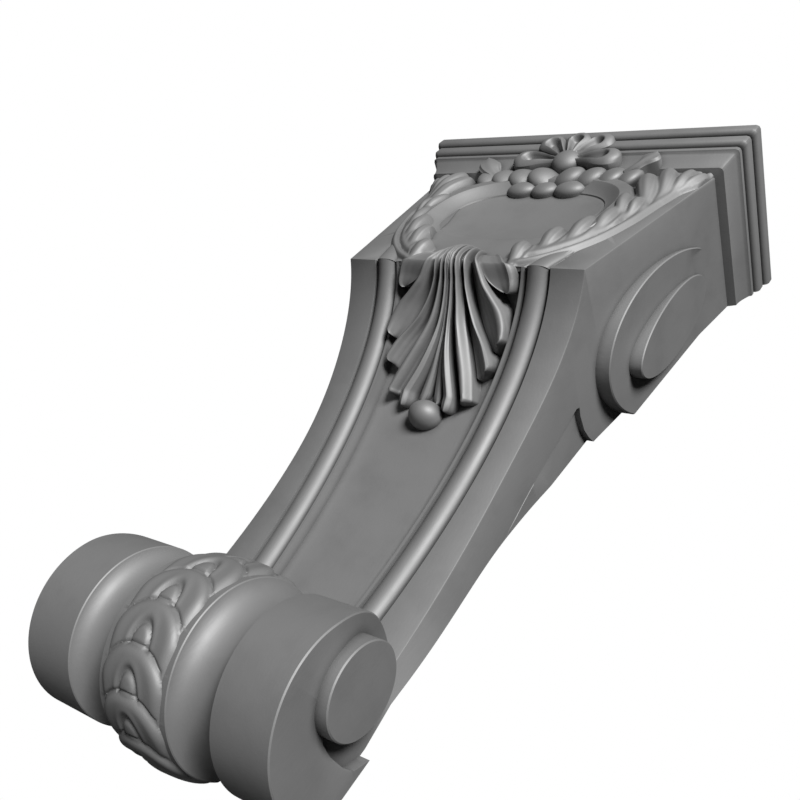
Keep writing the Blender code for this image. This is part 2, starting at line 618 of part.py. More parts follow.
# The grooves between the ribs, from the middle out, each as run, x and level over the line
GROOVES = [[(-0.017, 0.0000, 0.0004), (0.000, 0.0000, 0.0010), (0.018, 0.0000, 0.0016), (0.030, 0.0004, 0.0006),
            (0.042, 0.0014, -0.0012), (0.053, 0.0036, -0.0022), (0.066, 0.0080, -0.0024)],
           [(-0.017, 0.0018, -0.0008), (0.004, 0.0026, -0.0012), (0.018, 0.0030, -0.0016), (0.030, 0.0038, -0.0024),
            (0.042, 0.0066, -0.0030), (0.053, 0.0108, -0.0032), (0.066, 0.0165, -0.0030)],
           [(-0.017, 0.0040, -0.0016), (0.004, 0.0058, -0.0026), (0.018, 0.0083, -0.0034), (0.030, 0.0114, -0.0038),
            (0.042, 0.0168, -0.0038), (0.053, 0.0216, -0.0036), (0.066, 0.0256, -0.0032)],
           [(-0.017, 0.0062, -0.0034), (0.000, 0.0092, -0.0048), (0.008, 0.0099, -0.0052), (0.018, 0.0127, -0.0052),
            (0.029, 0.0182, -0.0050), (0.041, 0.0272, -0.0046), (0.054, 0.0340, -0.0042)],
           [(-0.017, 0.0088, -0.0034), (-0.002, 0.0135, -0.0030), (0.007, 0.0188, -0.0014), (0.015, 0.0247, -0.0006),
            (0.022, 0.0303, -0.0006), (0.029, 0.0334, -0.0010), (0.040, 0.0346, -0.0020)],
           [(-0.017, 0.0120, -0.0100), (-0.010, 0.0200, -0.0085), (-0.003, 0.0280, -0.0070), (0.004, 0.0330, -0.0065),
            (0.013, 0.0352, -0.0070)]]
# A rib's height across, from the groove by the middle outwards: a round one, a roof, a strip, a scoop and a flap
DOME = [(-1.0, -0.30), (-0.58, 0.74), (0.0, 1.0), (0.58, 0.74), (1.0, -0.30)]
ROOF = [(-1.0, -0.30), (-0.60, 0.26), (-0.14, 1.0), (0.86, 0.40), (1.0, -0.30)]
STRIP = [(-1.0, -0.20), (-0.45, 0.14), (0.40, 1.0), (0.76, 0.90), (1.0, -0.20)]
SCOOP = [(-1.0, -0.10), (-0.38, 0.10), (0.62, 1.0), (0.86, 0.90), (1.0, -0.10)]
FLAP = [(-1.0, -0.20), (-0.65, 0.58), (0.70, 1.0), (1.0, 0.0)]
# The ribs between them: section, the ridge's level at the crown and below, the tip's run and the round end's length
RIBS = [(DOME, 0.0014, 0.0028, 0.0735, 0.0050), (ROOF, 0.0010, 0.0030, 0.0680, 0.0030), (STRIP, 0.0000, 0.0018, 0.0530, 0.0),
        (SCOOP, -0.0012, 0.0020, 0.0395, 0.0), (FLAP, -0.0030, -0.0012, 0.0130, 0.0060)]
BALL_X = 0.0012
BALL_RUN = 0.0757
BALL_RADIUS = 0.0086


def fan_place(x, run, rise):
    """A place over the fanned leaf's line."""
    level = np.interp(run, [k[0] for k in FAN_LINE], [k[1] for k in FAN_LINE])
    return front(x, run, float(level) + rise)


def rib(side, inner, outer, section, crown, ridge, tip_run, rounded):
    """A rib of the fanned leaf between two grooves, with a cut or a rounded end."""
    rooted.append("rib")
    sink = FAN_SINK + ROOT_STAGGER * (len(rooted) % 13)
    runs = [mix(FAN_TOP_RUN, tip_run - rounded, t) for t in (0.0, 0.10, 0.22, 0.36, 0.50, 0.66, 0.82, 1.0)]
    if rounded:
        runs += [tip_run - 0.4 * rounded, tip_run]
    rows = []
    for run in runs:
        past = max(run - tip_run + rounded, 0.0) / rounded if rounded else 0.0
        end = math.sqrt(1.0 - 0.96 * past * past)
        low, low_level = [float(np.interp(run, [k[0] for k in inner], [k[i] for k in inner])) for i in (1, 2)]
        high, high_level = [float(np.interp(run, [k[0] for k in outer], [k[i] for k in outer])) for i in (1, 2)]
        top = mix(crown, ridge, smooth((run + 0.004) / 0.016))
        row = []
        for u, share in section:
            x = 0.5 * (low + high) + (0.5 * (high - low) + 0.0003) * u * end
            base = mix(low_level, high_level, 0.5 + 0.5 * u)
            row.append((side * x, base + (top - base) * share - 0.0012 * (1.0 - end)))
        tops = [fan_place(x, run, lift) for x, lift in row]
        rows.append(tops + [fan_place(row[k][0], run, -sink) for k in (-1, 0)])
    return loft("rib", rows)


def fan():
    """The fanned leaf that hangs over the bend, and the curled ball at its tip."""
    pieces = []
    for inner, outer, sizes in zip(GROOVES, GROOVES[1:], RIBS):
        pieces += [rib(side, inner, outer, *sizes) for side in (-1.0, 1.0)]
    path = [(0.0, mix(FAN_TOP_RUN, BALL_RUN - 0.004, i / 6), -0.0022) for i in range(7)]
    pieces.append(leaf("keel", fan_place, path, 0.0050, 0.0018, 6, 2, 0.16, 0.92, 0.0, 0.35, FAN_SINK))
    rings = []
    for a in (-80, -50, -20, 10, 40, 65, 84):
        r = BALL_RADIUS * math.cos(math.radians(a))
        rings.append([front(BALL_X + r * math.cos(b), BALL_RUN + 0.84 * r * math.sin(b),
                            BALL_RADIUS * math.sin(math.radians(a)) - 0.0050)
                      for b in (2 * math.pi * k / 14 for k in range(14))])
    pieces.append(loft("ball", rings))
    return pieces


def scales():
    """The leaves that overlap around the band of the roll, each with a tongue in its middle."""
    pieces = []

    def surface(x, arc, rise):
        return roll(x, arc / ROLL_BAND_RADIUS, ROLL_BAND_RADIUS + rise)

    for k in range(SCALE_COUNT):
        start = SCALE_FIRST + k * SCALE_STEP
        path = []
        for i in range(5):
            t = i / 4
            path.append((0.0, ROLL_BAND_RADIUS * (start + math.radians(SCALE_SPAN) * (1 - t)), mix(0.0, 0.0016, t)))
        pieces.append(leaf("scale", surface, path, 0.0165, 0.0026, 5, 4, 0.85, 0.42, 0.0, 0.30, 0.0030))
    return pieces


def flatten_back(target):
    """Applies the joins and cuts everything behind the wall plane away."""
    graph = bpy.context.evaluated_depsgraph_get()
    shape = bmesh.new()
    shape.from_mesh(target.evaluated_get(graph).to_mesh())
    bmesh.ops.dissolve_limit(shape, angle_limit=math.radians(1.5), verts=shape.verts, edges=shape.edges)
    bmesh.ops.triangulate(shape, faces=shape.faces)
    everything = shape.verts[:] + shape.edges[:] + shape.faces[:]
    bmesh.ops.bisect_plane(shape, geom=everything, dist=1e-6, plane_co=(0, 0, 0), plane_no=(0, 1, 0), clear_outer=True)
    rim = [edge for edge in shape.edges if edge.is_boundary]
    bmesh.ops.contextual_create(shape, geom=rim)
    bmesh.ops.triangulate(shape, faces=shape.faces)
    bmesh.ops.recalc_face_normals(shape, faces=shape.faces)
    target.modifiers.clear()
    shape.to_mesh(target.data)
    shape.free()


def group(name, things):
    """Moves tool solids into a collection of their own, out of the render."""
    collection = bpy.data.collections.new(name)
    bpy.context.scene.collection.children.link(collection)
    for thing in things:
        bpy.context.scene.collection.objects.unlink(thing)
        collection.objects.link(thing)
        thing.hide_render = True
        thing.display_type = "WIRE"
    return collection


def boolean(target, name, operation, collection):
    step = target.modifiers.new(name, "BOOLEAN")
    step.operation = operation
    step.solver = "EXACT"
    step.operand_type = "COLLECTION"
    step.collection = collection


def paint(target):
    """A neutral grey paint on carved wood."""
    material = bpy.data.materials.new("grey_carving")
    material.use_nodes = True
    shader = material.node_tree.nodes["Principled BSDF"]
    shader.inputs["Base Color"].default_value = (0.23, 0.23, 0.23, 1.0)
    shader.inputs["Roughness"].default_value = 0.55
    shader.inputs["Metallic"].default_value = 0.0
    target.data.materials.append(material)


def build():
    for thing in list(bpy.data.objects):
        bpy.data.objects.remove(thing)
    bracket = roll_body()
    bracket.name = "carved_bracket"
    sides = (-1.0, 1.0)
    carving = [oval_frame()] + rosette() + calyx() + fan() + scales()
    for side in sides:
        carving += [roll_eye(side), side_disc(side), side_eye(side)] + spray(side)
    boolean(bracket, "notches", "DIFFERENCE", group("notches", [roll_notch(side) for side in sides]))
    boolean(bracket, "body", "UNION", group("body", [core(), cap()]))
    sinkings = [web_cutter(side) for side in sides] + [oval_cutter()]
    boolean(bracket, "sinkings", "DIFFERENCE", group("sinkings", sinkings))
    boolean(bracket, "carving", "UNION", group("carving", carving))
    flatten_back(bracket)
    paint(bracket)


build()
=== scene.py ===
"""The look of a carved scroll bracket: its finer carving, its painted finish, the light, the floor and the camera.

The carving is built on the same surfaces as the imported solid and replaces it. Heights are given as a drop, the
distance down from the top of the cap, and depths as the distance from the wall. Lengths are in metres.
"""

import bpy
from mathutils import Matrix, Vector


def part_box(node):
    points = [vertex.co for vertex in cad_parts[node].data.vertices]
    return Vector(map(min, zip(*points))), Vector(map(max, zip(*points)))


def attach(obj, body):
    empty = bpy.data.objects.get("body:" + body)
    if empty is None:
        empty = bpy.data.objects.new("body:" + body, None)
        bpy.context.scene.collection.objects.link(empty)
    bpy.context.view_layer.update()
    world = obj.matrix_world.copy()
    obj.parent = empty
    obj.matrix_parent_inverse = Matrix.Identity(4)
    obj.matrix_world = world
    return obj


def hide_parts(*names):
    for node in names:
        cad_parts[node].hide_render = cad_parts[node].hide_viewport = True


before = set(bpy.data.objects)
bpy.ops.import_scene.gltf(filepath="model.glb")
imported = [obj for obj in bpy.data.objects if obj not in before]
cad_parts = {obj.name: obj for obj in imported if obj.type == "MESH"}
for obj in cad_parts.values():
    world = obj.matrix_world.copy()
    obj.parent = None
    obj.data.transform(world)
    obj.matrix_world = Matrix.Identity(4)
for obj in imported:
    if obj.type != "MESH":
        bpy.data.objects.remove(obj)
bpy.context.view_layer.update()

import math

import bmesh
import bpy
import numpy as np
from mathutils import Matrix, Vector

NODE = "carved_bracket"
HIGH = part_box(NODE)[1]

# Main sizes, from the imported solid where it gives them
TOP = HIGH.z
CAP_HALF_WIDTH = HIGH.x
CAP_DEPTH = 0.0902
CAP_CORNER_CUT = 0.0022
CAP_CORNER_BULGE = 0.30
BACK_SPARE = 0.0060

# Cap moulding: plate, groove, round, ogee and soffit, each with its inset and its foot
PLATE_BEVEL = 0.0006
PLATE_FOOT = 0.0073
PLATE_ROUND = 0.0030
PLATE_GROOVE = 0.0012
GROOVE_SINK = 0.0030
ROUND_INSET = 0.0024
ROUND_FOOT = 0.0155
ROUND_SIZE = 0.0028
OGEE_INSET = 0.0048
OGEE_NECK = 0.0050
OGEE_FOOT = 0.0305
OGEE_BEVEL = 0.0012
OGEE_LIST = 0.0040
OGEE_START = 0.0048
OGEE_STEP = 0.0014
SOFFIT_RISE = 0.0018
SOFFIT_GAP = 0.0006
SOFFIT_REACH = 0.0120

# Block under the cap
BLOCK_TOP_HALF_WIDTH = 0.0862
BLOCK_TOP_DEPTH = 0.0757
BLOCK_BURY = 0.0060
BEND_DROP = 0.1450
BEND_EASE = 0.0240
NECK_HALF_WIDTH = 0.05668
FLARE = 0.1582
FLARE_END_DROP = 0.2158
FLARE_EASE = 0.0305

# Neck: its front is a quarter of an ellipse that ends near the wall
NECK_WAIST = 0.0066
NECK_WAIST_DROP = 0.3663
NECK_CURVE_DEPTH = 0.0942
NECK_CURVE_HEIGHT = 0.2249
NECK_END_DROP = 0.3290
NECK_ROWS = 90
# Its end inside the roll: drop, depth and half width
NECK_FOOT = [(0.3380, 0.0150, 0.0570), (0.3490, 0.0325, 0.0598),
             (0.3600, 0.0340, 0.0612), (0.3680, 0.0270, 0.0612)]
REED_TOP_X = 0.0442
REED_LEAN = 0.070
REED_BLOCK_LEAN = 0.170
REED_HALF_WIDTH = 0.0056
REED_RISE = 0.0024
REED_FOOT_SHARE = 0.8
REED_GROOVE = 0.0030
REED_GROOVE_WIDTH = 0.0014
REED_GROOVE_WALL = 0.0002
REED_BLOCK_GROOVE = 0.0012
REED_FILLET = 0.0013
REED_RUN_UP = 0.0260
PANEL_SINK_TOP = 0.0085
PANEL_SINK_FOOT = 0.0045
PANEL_WALL = 0.0003
WEB_SINK = 0.0032
WEB_TOP_DROP = 0.1616
WEB_END_DROP = 0.2380
WEB_HEIGHT = 0.0750
FOOT_RAMP = 0.0062
FOOT_RAMP_DROP = 0.2350
FOOT_RAMP_HEIGHT = 0.0850
EDGE_ROUND = 0.0007

# Roll at the foot
ROLL_DEPTH = 0.0243
ROLL_DROP = 0.3540
ROLL_RADIUS = 0.0372
ROLL_DISC_INNER_X = 0.0394
ROLL_DISC_OUTER_X = 0.0600
ROLL_RIM_X = 0.0672
ROLL_EDGE = 0.0004
ROLL_RIM_EDGE = 0.0005
ROLL_CLIMB_SEAM = 40.0
ROLL_CLIMB_START = 78.0
ROLL_CLIMB_SPAN = 86.0
ROLL_CLIMB_LOW = 0.0022
ROLL_NOTCH_X = (0.050, 0.080)
ROLL_BAND_HALF_WIDTH = 0.0187
ROLL_BAND_RADIUS = 0.0384
ROLL_COVE_SINK = 0.0075
ROLL_EYE_DEPTH = 0.0330
ROLL_EYE_DROP = 0.3462
ROLL_EYE_HALF_DEPTH = 0.0165
ROLL_EYE_HALF_HEIGHT = 0.0190
ROLL_EYE_X = 0.0722
SCALE_STEP = math.radians(24.8)
SCALE_FIRST = math.radians(63.2)
SCALE_COUNT = 10
SCALE_SPAN = math.radians(36.0)
SCALE_HALF_WIDTH = 0.0168
SCALE_ROUND = 0.0150
SCALE_RISE = 0.0038
SCALE_TILT = 0.118
SCALE_TONGUE_HALF_WIDTH = 0.0050
SCALE_TONGUE_TOP = 0.0088
SCALE_TONGUE_ROUND = 0.0085
SCALE_TONGUE_RISE = 0.0009
SCALE_GROOVE = 0.0011
SCALE_LIP = 0.0003
SCALE_FLOOR = 0.0004
SCALE_ROOT = -0.0008

# Scroll on each side of the block
DISC_DEPTH = 0.0202
DISC_DROP = 0.0905
DISC_HALF_DEPTH = 0.0383
DISC_HALF_HEIGHT = 0.0620
DISC_TILT = -0.167
DISC_TOP_X = 0.0835
DISC_FALL = 0.090
DISC_FALL_DROP = 0.055
DISC_CROWN_DROP = 0.060
DISC_CROWN_HEIGHT = 0.030
DISC_CROWN_SINK = 0.0020
EYE_DEPTH = 0.0247
EYE_DROP = 0.0926
EYE_HALF_DEPTH = 0.0160
EYE_HALF_HEIGHT = 0.0427
EYE_X = 0.0830
STUD_ROOT_X = 0.0500
STUD_BEVEL = 0.0005

# Oval panel
OVAL_DROP = 0.0825
OVAL_HALF_WIDTH = 0.0515
OVAL_HALF_HEIGHT = 0.0385
OVAL_SQUARENESS = 2.65
OVAL_RISE = 0.0050
OVAL_FRAME = 0.0070
OVAL_MARGIN = 0.0060
OVAL_DISH = 0.0030
OVAL_LOW = -0.0006
OVAL_EDGE = 0.0004
OVAL_CHAMFER = 0.0040
OVAL_FLOOR = -0.0008
OVAL_SPARE = 0.0012

# Rosette
ROSETTE_DEPTH = 0.0826
ROSETTE_DROP = 0.0252
ROSETTE_HALF_WIDTH = 0.0330
ROSETTE_HALF_HEIGHT = 0.0252
ROSETTE_LEAN = 0.15
ROSETTE_PETALS = 8
ROSETTE_SHOWN = 5
PETAL_HALF_WIDTH = 0.0078
PETAL_RISE = 0.0066
PETAL_HOLLOW = 0.0044
PETAL_START = 0.12
PETAL_CLEAR_WIDE = 0.78
PETAL_CLEAR_LONG = 0.93
PETAL_CLEAR_DEPTH = 0.0150
ROSETTE_BUTTON = 0.0086
ROSETTE_BUTTON_RISE = 0.0066
ROSETTE_BURY = 0.0095

# How far relief is rooted in what carries it, and how near a strip runs to the point of its tip
ROOT = 0.0040
NEAR_TIP = 0.998
BLADE_NEAR_TIP = 0.996


def mix(a, b, t):
    """From a to b at the share t."""
    return a + (b - a) * t


def smooth(t):
    """From 0 to 1 with a soft start and end."""
    t = np.clip(t, 0.0, 1.0)
    return t * t * (3.0 - 2.0 * t)


def point(x, depth, drop):
    """Places in the part's frame from the distance to the wall and the drop below the cap's top."""
    x, depth, drop = np.broadcast_arrays(x, depth, drop)
    return np.stack([x, -depth, TOP - drop], axis=-1).astype(float)


def half_width(drop):
    """Half the width between the side faces, which flare towards the cap."""
    up = FLARE_END_DROP - drop
    return NECK_HALF_WIDTH + FLARE * 0.5 * (up + np.hypot(up, FLARE_EASE))


def neck_angle(drop):
    """The angle on the neck's ellipse at a drop."""
    return np.arccos((NECK_WAIST_DROP - drop) / NECK_CURVE_HEIGHT)


def neck_point(angle):
    """The depth and drop of the neck's front at an angle."""
    depth = NECK_WAIST + NECK_CURVE_DEPTH * (1.0 - np.sin(angle))
    drop = NECK_WAIST_DROP - NECK_CURVE_HEIGHT * np.cos(angle)
    return depth, drop


def neck_normal(angle):
    """The outward normal of the neck's front, as depth and drop."""
    depth = NECK_CURVE_HEIGHT * np.sin(angle)
    drop = NECK_CURVE_DEPTH * np.cos(angle)
    size = np.hypot(depth, drop)
    return depth / size, drop / size


BEND_ANGLE = neck_angle(BEND_DROP)
BEND_DEPTH = neck_point(BEND_ANGLE)[0]
FACE_SLOPE = (BEND_DEPTH - BLOCK_TOP_DEPTH) / (BEND_DROP - OGEE_FOOT)
FACE_RUN = math.hypot(1.0, FACE_SLOPE)

# The front in section, from the cap to the roll: run is the distance along it below the bend, negative up the block
FACE_STEPS = np.linspace(-0.150, 0.0, 150, endpoint=False)
NECK_ANGLES = np.linspace(BEND_ANGLE, neck_angle(NECK_END_DROP), 400)
NECK_DEPTHS, NECK_DROPS = neck_point(NECK_ANGLES)
NECK_RUNS = np.concatenate([[0.0], np.cumsum(np.hypot(np.diff(NECK_DEPTHS), np.diff(NECK_DROPS)))])
FRONT_RUNS = np.concatenate([FACE_STEPS, NECK_RUNS])
FRONT_DEPTHS = np.concatenate([BEND_DEPTH + FACE_STEPS * FACE_SLOPE / FACE_RUN, NECK_DEPTHS])
FRONT_DROPS = np.concatenate([BEND_DROP + FACE_STEPS / FACE_RUN, NECK_DROPS])


def front_normals():
    """The direction of rise along the front, turned gently over the bend."""
    at_bend = neck_normal(BEND_ANGLE)
    along = neck_normal(NECK_ANGLES)
    turn = smooth(FRONT_RUNS / BEND_EASE + 0.5)
    sides = []
    for face, bend, neck in zip((1.0 / FACE_RUN, FACE_SLOPE / FACE_RUN), at_bend, along):
        below = np.concatenate([np.full(len(FACE_STEPS), bend), neck])
        sides.append(mix(face, below, turn))
    size = np.hypot(*sides)
    return sides[0] / size, sides[1] / size


FRONT_OUT, FRONT_DOWN = front_normals()


def front(x, run, rise):
    """Places on the front: rise is outwards from it."""
    depth = np.interp(run, FRONT_RUNS, FRONT_DEPTHS) + rise * np.interp(run, FRONT_RUNS, FRONT_OUT)
    drop = np.interp(run, FRONT_RUNS, FRONT_DROPS) + rise * np.interp(run, FRONT_RUNS, FRONT_DOWN)
    return point(x, depth, drop)


def run_of(drop):
    """The run on the front at a drop on the block."""
    return (drop - BEND_DROP) * FACE_RUN


def roll(x, angle, radius):
    """Places around the roll; the angle is 90 degrees at its top and 180 at its front."""
    return point(x, ROLL_DEPTH - radius * np.cos(angle), ROLL_DROP - radius * np.sin(angle))


def line_through(at, values, t):
    """A smooth line that has the values at the places at: what it is at each t, and its slope there."""
    slopes = np.gradient(values, at, axis=0)
    i = np.clip(np.searchsorted(at, t, side="right") - 1, 0, len(at) - 2)
    gap = (at[i + 1] - at[i])[..., None]
    s = ((t - at[i]) / (at[i + 1] - at[i]))[..., None]
    value = (1 + 2 * s) * (1 - s) ** 2 * values[i] + s * s * (3 - 2 * s) * values[i + 1]
    value = value + gap * (s * (1 - s) ** 2 * slopes[i] + s * s * (s - 1) * slopes[i + 1])
    slope = (6 * s * s - 6 * s) * (values[i] - values[i + 1]) / gap
    slope = slope + (1 - s) * (1 - 3 * s) * slopes[i] + s * (3 * s - 2) * slopes[i + 1]
    return value, slope


def curve(knots, t):
    """A smooth line through knots, by their shares of its length, at the shares t."""
    knots = np.array(knots, float)
    steps = np.linalg.norm(np.diff(knots[:, :2], axis=0), axis=1)
    at = np.concatenate([[0.0], np.cumsum(steps)]) / np.sum(steps)
    return line_through(at, knots, t)[0]


def swell(knots, t):
    """A value along t that passes through pairs of t and value with soft turns."""
    at = np.array([k[0] for k in knots])
    values = np.array([k[1] for k in knots])
    i = np.clip(np.searchsorted(at, t, side="right") - 1, 0, len(at) - 2)
    return mix(values[i], values[i + 1], smooth((t - at[i]) / (at[i + 1] - at[i])))


def solid(name, verts, faces):
    """A closed mesh object with its faces turned outwards."""
    mesh = bpy.data.meshes.new(name)
    mesh.from_pydata(verts.tolist(), [], faces)
    shape = bmesh.new()
    shape.from_mesh(mesh)
    bmesh.ops.remove_doubles(shape, verts=shape.verts, dist=1e-6)
    bmesh.ops.dissolve_degenerate(shape, dist=1e-6, edges=shape.edges)
    bmesh.ops.recalc_face_normals(shape, faces=shape.faces)
    shape.to_mesh(mesh)
    shape.free()
    thing = bpy.data.objects.new(name, mesh)
    bpy.context.scene.collection.objects.link(thing)
    return thing


def loft(name, rings):
    """A solid through rings of the same number of points, with flat ends."""
    rings = np.array(rings, float)
    rows, count = rings.shape[:2]
    faces = []
    for i in range(rows - 1):
        for j in range(count):
            k = (j + 1) % count
            faces.append((i * count + j, i * count + k, (i + 1) * count + k, (i + 1) * count + j))
    faces.append(tuple(range(count)))
    faces.append(tuple(range((rows - 1) * count, rows * count)))
    return solid(name, rings.reshape(-1, 3), faces)


# The side tips' height across, from edge to edge
ROUND = [(-1.0, 0.30), (-0.72, 0.78), (0.0, 1.0), (0.72, 0.78), (1.0, 0.30)]
# A lobe's height across, from the side by the oval outwards: a dome, a groove and a small rim
LOBE = [(-1.0, 0.0), (-0.86, 0.55), (-0.60, 0.90), (-0.22, 1.0), (0.20, 0.86), (0.52, 0.46), (0.74, 0.58),
        (0.90, 0.44), (1.0, 0.0)]


def blade(name, surface, path, widths, section, rise, tip, sink, steps=22, across=18):
    """A piece of relief on a surface along a path of places, each with its lift.

    widths is half its width along the path, section its height across from edge to edge, tip the share of the path
    at which its rounded end begins, and sink the depth of its root.
    """
    t = BLADE_NEAR_TIP * np.sin(0.5 * np.pi * np.linspace(0.0, 1.0, steps + 1))
    here = curve(path, t)
    ahead = curve(path, np.minimum(t + 0.02, 1.0)) - curve(path, np.maximum(t - 0.02, 0.0))
    along = ahead[:, :2] / np.linalg.norm(ahead[:, :2], axis=1)[:, None]
    side = np.stack([along[:, 1], -along[:, 0]], axis=1)
    end = np.sqrt(np.clip(1.0 - (np.maximum(t - tip, 0.0) / (1.0 - tip)) ** 2, 0.0, 1.0))
    wide = (swell(widths, t) * end)[:, None]
    u = -np.cos(np.pi * np.linspace(0.0, 1.0, across + 1))[None, :]
    spread = here[:, None, :2] + side[:, None, :] * (wide * u)[:, :, None]
    lift = here[:, 2:] + rise * mix(1.0, 0.8, smooth(t))[:, None] * swell(section, u[0])[None, :]
    tops = surface(spread[:, :, 0], spread[:, :, 1], lift)
    foot = spread[:, ::-1][:, [0, -1]]
    roots = surface(foot[:, :, 0], foot[:, :, 1], np.full(foot.shape[:2], -sink))
    return loft(name, np.concatenate([tops, roots], axis=1))


def reed_x(drop):
    """The reed's middle line; it turns outwards where it runs up the block."""
    return REED_TOP_X - REED_LEAN * (drop - BEND_DROP) + REED_BLOCK_LEAN * max(BEND_DROP - drop, 0.0)


def core():
    """The block, the neck with its bands, reeds and sunk panel, and its end inside the roll."""
    arc = np.radians(np.linspace(0.0, 180.0, 13))
    rings = []

    def ring(run, drop, panel, groove, reed, narrow=1.0):
        """The section at a run: panel and groove are how deep they are there, and reed how high it stands."""
        edge = half_width(drop)
        centre = reed_x(drop)
        reed_half = REED_HALF_WIDTH * narrow
        foot = REED_FOOT_SHARE * groove
        outer = centre + reed_half
        inner = centre - reed_half
        lip = inner - REED_GROOVE_WIDTH - REED_FILLET
        right = [(edge, -EDGE_ROUND), (edge - 0.3 * EDGE_ROUND, -0.3 * EDGE_ROUND), (edge - EDGE_ROUND, 0.0)]
        right += [(outer + REED_GROOVE_WIDTH, 0.0), (outer + REED_GROOVE_WALL, -groove)]
        right += [(centre + reed_half * math.cos(a), (reed + foot) * math.sin(a) - foot) for a in arc]
        right += [(inner - REED_GROOVE_WALL, -groove), (inner - REED_GROOVE_WIDTH, 0.0)]
        right += [(lip, 0.0), (lip - PANEL_WALL, -panel)]
        left = [(-x, rise) for x, rise in right]
        across = np.array(left + right[::-1])
        back_x = edge + FOOT_RAMP * smooth((drop - FOOT_RAMP_DROP) / FOOT_RAMP_HEIGHT)
        row = front(across[:, 0], np.full(len(across), run), across[:, 1])
        return np.concatenate([row, point([back_x, -back_x], -BACK_SPARE, drop)])

    for share in (0.0, 0.5, 1.0):
        drop = mix(OGEE_FOOT - BLOCK_BURY, BEND_DROP - REED_RUN_UP, share)
        rings.append(ring(run_of(drop), drop, 0.0, 0.0, 0.0, 0.25))
    for share in (0.15, 0.5, 0.8, 1.0):
        drop = mix(BEND_DROP - REED_RUN_UP, BEND_DROP, share)
        rings.append(ring(run_of(drop), drop, 0.0, REED_BLOCK_GROOVE * share, REED_RISE * mix(0.5, 1.0, share)))
    for i in range(NECK_ROWS + 1):
        run = NECK_RUNS[-1] * i / NECK_ROWS
        drop = float(np.interp(run, FRONT_RUNS, FRONT_DROPS))
        sink = mix(PANEL_SINK_TOP, PANEL_SINK_FOOT, i / NECK_ROWS)
        rings.append(ring(run, drop, sink, REED_GROOVE, REED_RISE))
    count = len(rings[0]) - 2
    for drop, depth, edge in NECK_FOOT:
        row = point(edge * np.linspace(-1.0, 1.0, count), depth, drop)
        back_x = half_width(drop) + FOOT_RAMP
        rings.append(np.concatenate([row, point([back_x, -back_x], -BACK_SPARE, drop)]))
    return loft("core", rings)


def cap_profile():
    """Inset and drop down the moulding, from the top to where it dies into the block."""
    turn = np.radians(np.linspace(10.0, 90.0, 9))
    rows = [(PLATE_BEVEL, 0.0), (0.0, PLATE_BEVEL), (0.0, PLATE_FOOT - PLATE_ROUND)]
    rows += [(PLATE_ROUND * (1 - math.cos(a)), PLATE_FOOT - PLATE_ROUND * (1 - math.sin(a))) for a in turn]
    rows += [(GROOVE_SINK + ROUND_INSET, PLATE_FOOT), (GROOVE_SINK + ROUND_INSET, PLATE_FOOT + PLATE_GROOVE)]
    rows += [(ROUND_INSET, PLATE_FOOT + PLATE_GROOVE), (ROUND_INSET, ROUND_FOOT - ROUND_SIZE)]
    rows += [(ROUND_INSET + ROUND_SIZE * (1 - math.cos(a)),
              ROUND_FOOT - ROUND_SIZE * (1 - math.sin(a))) for a in turn]
    rows += [(OGEE_INSET + OGEE_BEVEL, ROUND_FOOT), (OGEE_INSET, ROUND_FOOT + OGEE_BEVEL)]
    rows += [(OGEE_INSET, ROUND_FOOT + OGEE_LIST), (OGEE_INSET + OGEE_STEP, ROUND_FOOT + OGEE_START)]
    for share in np.linspace(0.1, 1.0, 10):
        inset = OGEE_INSET + OGEE_STEP + (OGEE_NECK - OGEE_STEP) * math.sin(share * math.pi / 2)
        rows.append((inset, mix(ROUND_FOOT + OGEE_START, OGEE_FOOT, share)))
    block = CAP_HALF_WIDTH - BLOCK_TOP_HALF_WIDTH
    rows += [(block + SOFFIT_GAP, OGEE_FOOT + SOFFIT_RISE), (block + SOFFIT_REACH, OGEE_FOOT + SOFFIT_RISE)]
    return rows


def cap():
    """The moulded cap, with a small cut at each front corner."""
    rings = []
    for inset, drop in cap_profile():
        x = CAP_HALF_WIDTH - inset
        depth = CAP_DEPTH - inset
        cut = CAP_CORNER_CUT
        bulge = CAP_CORNER_BULGE * cut
        right = [(x, -BACK_SPARE), (x, depth - cut), (x - bulge, depth - bulge), (x - cut, depth)]
        ring = right + [(-px, py) for px, py in reversed(right)]
        rings.append(point([p[0] for p in ring], [p[1] for p in ring], drop))
    return loft("cap", rings)


def roll_side_x(angle):
    """The side of the end disc climbs from the neck to the full rim as the scroll turns."""
    turned = (np.degrees(angle) - ROLL_CLIMB_SEAM) % 360.0 + ROLL_CLIMB_SEAM
    climb = smooth((turned - ROLL_CLIMB_START) / ROLL_CLIMB_SPAN)
    return mix(ROLL_DISC_OUTER_X - ROLL_CLIMB_LOW, ROLL_RIM_X, climb)


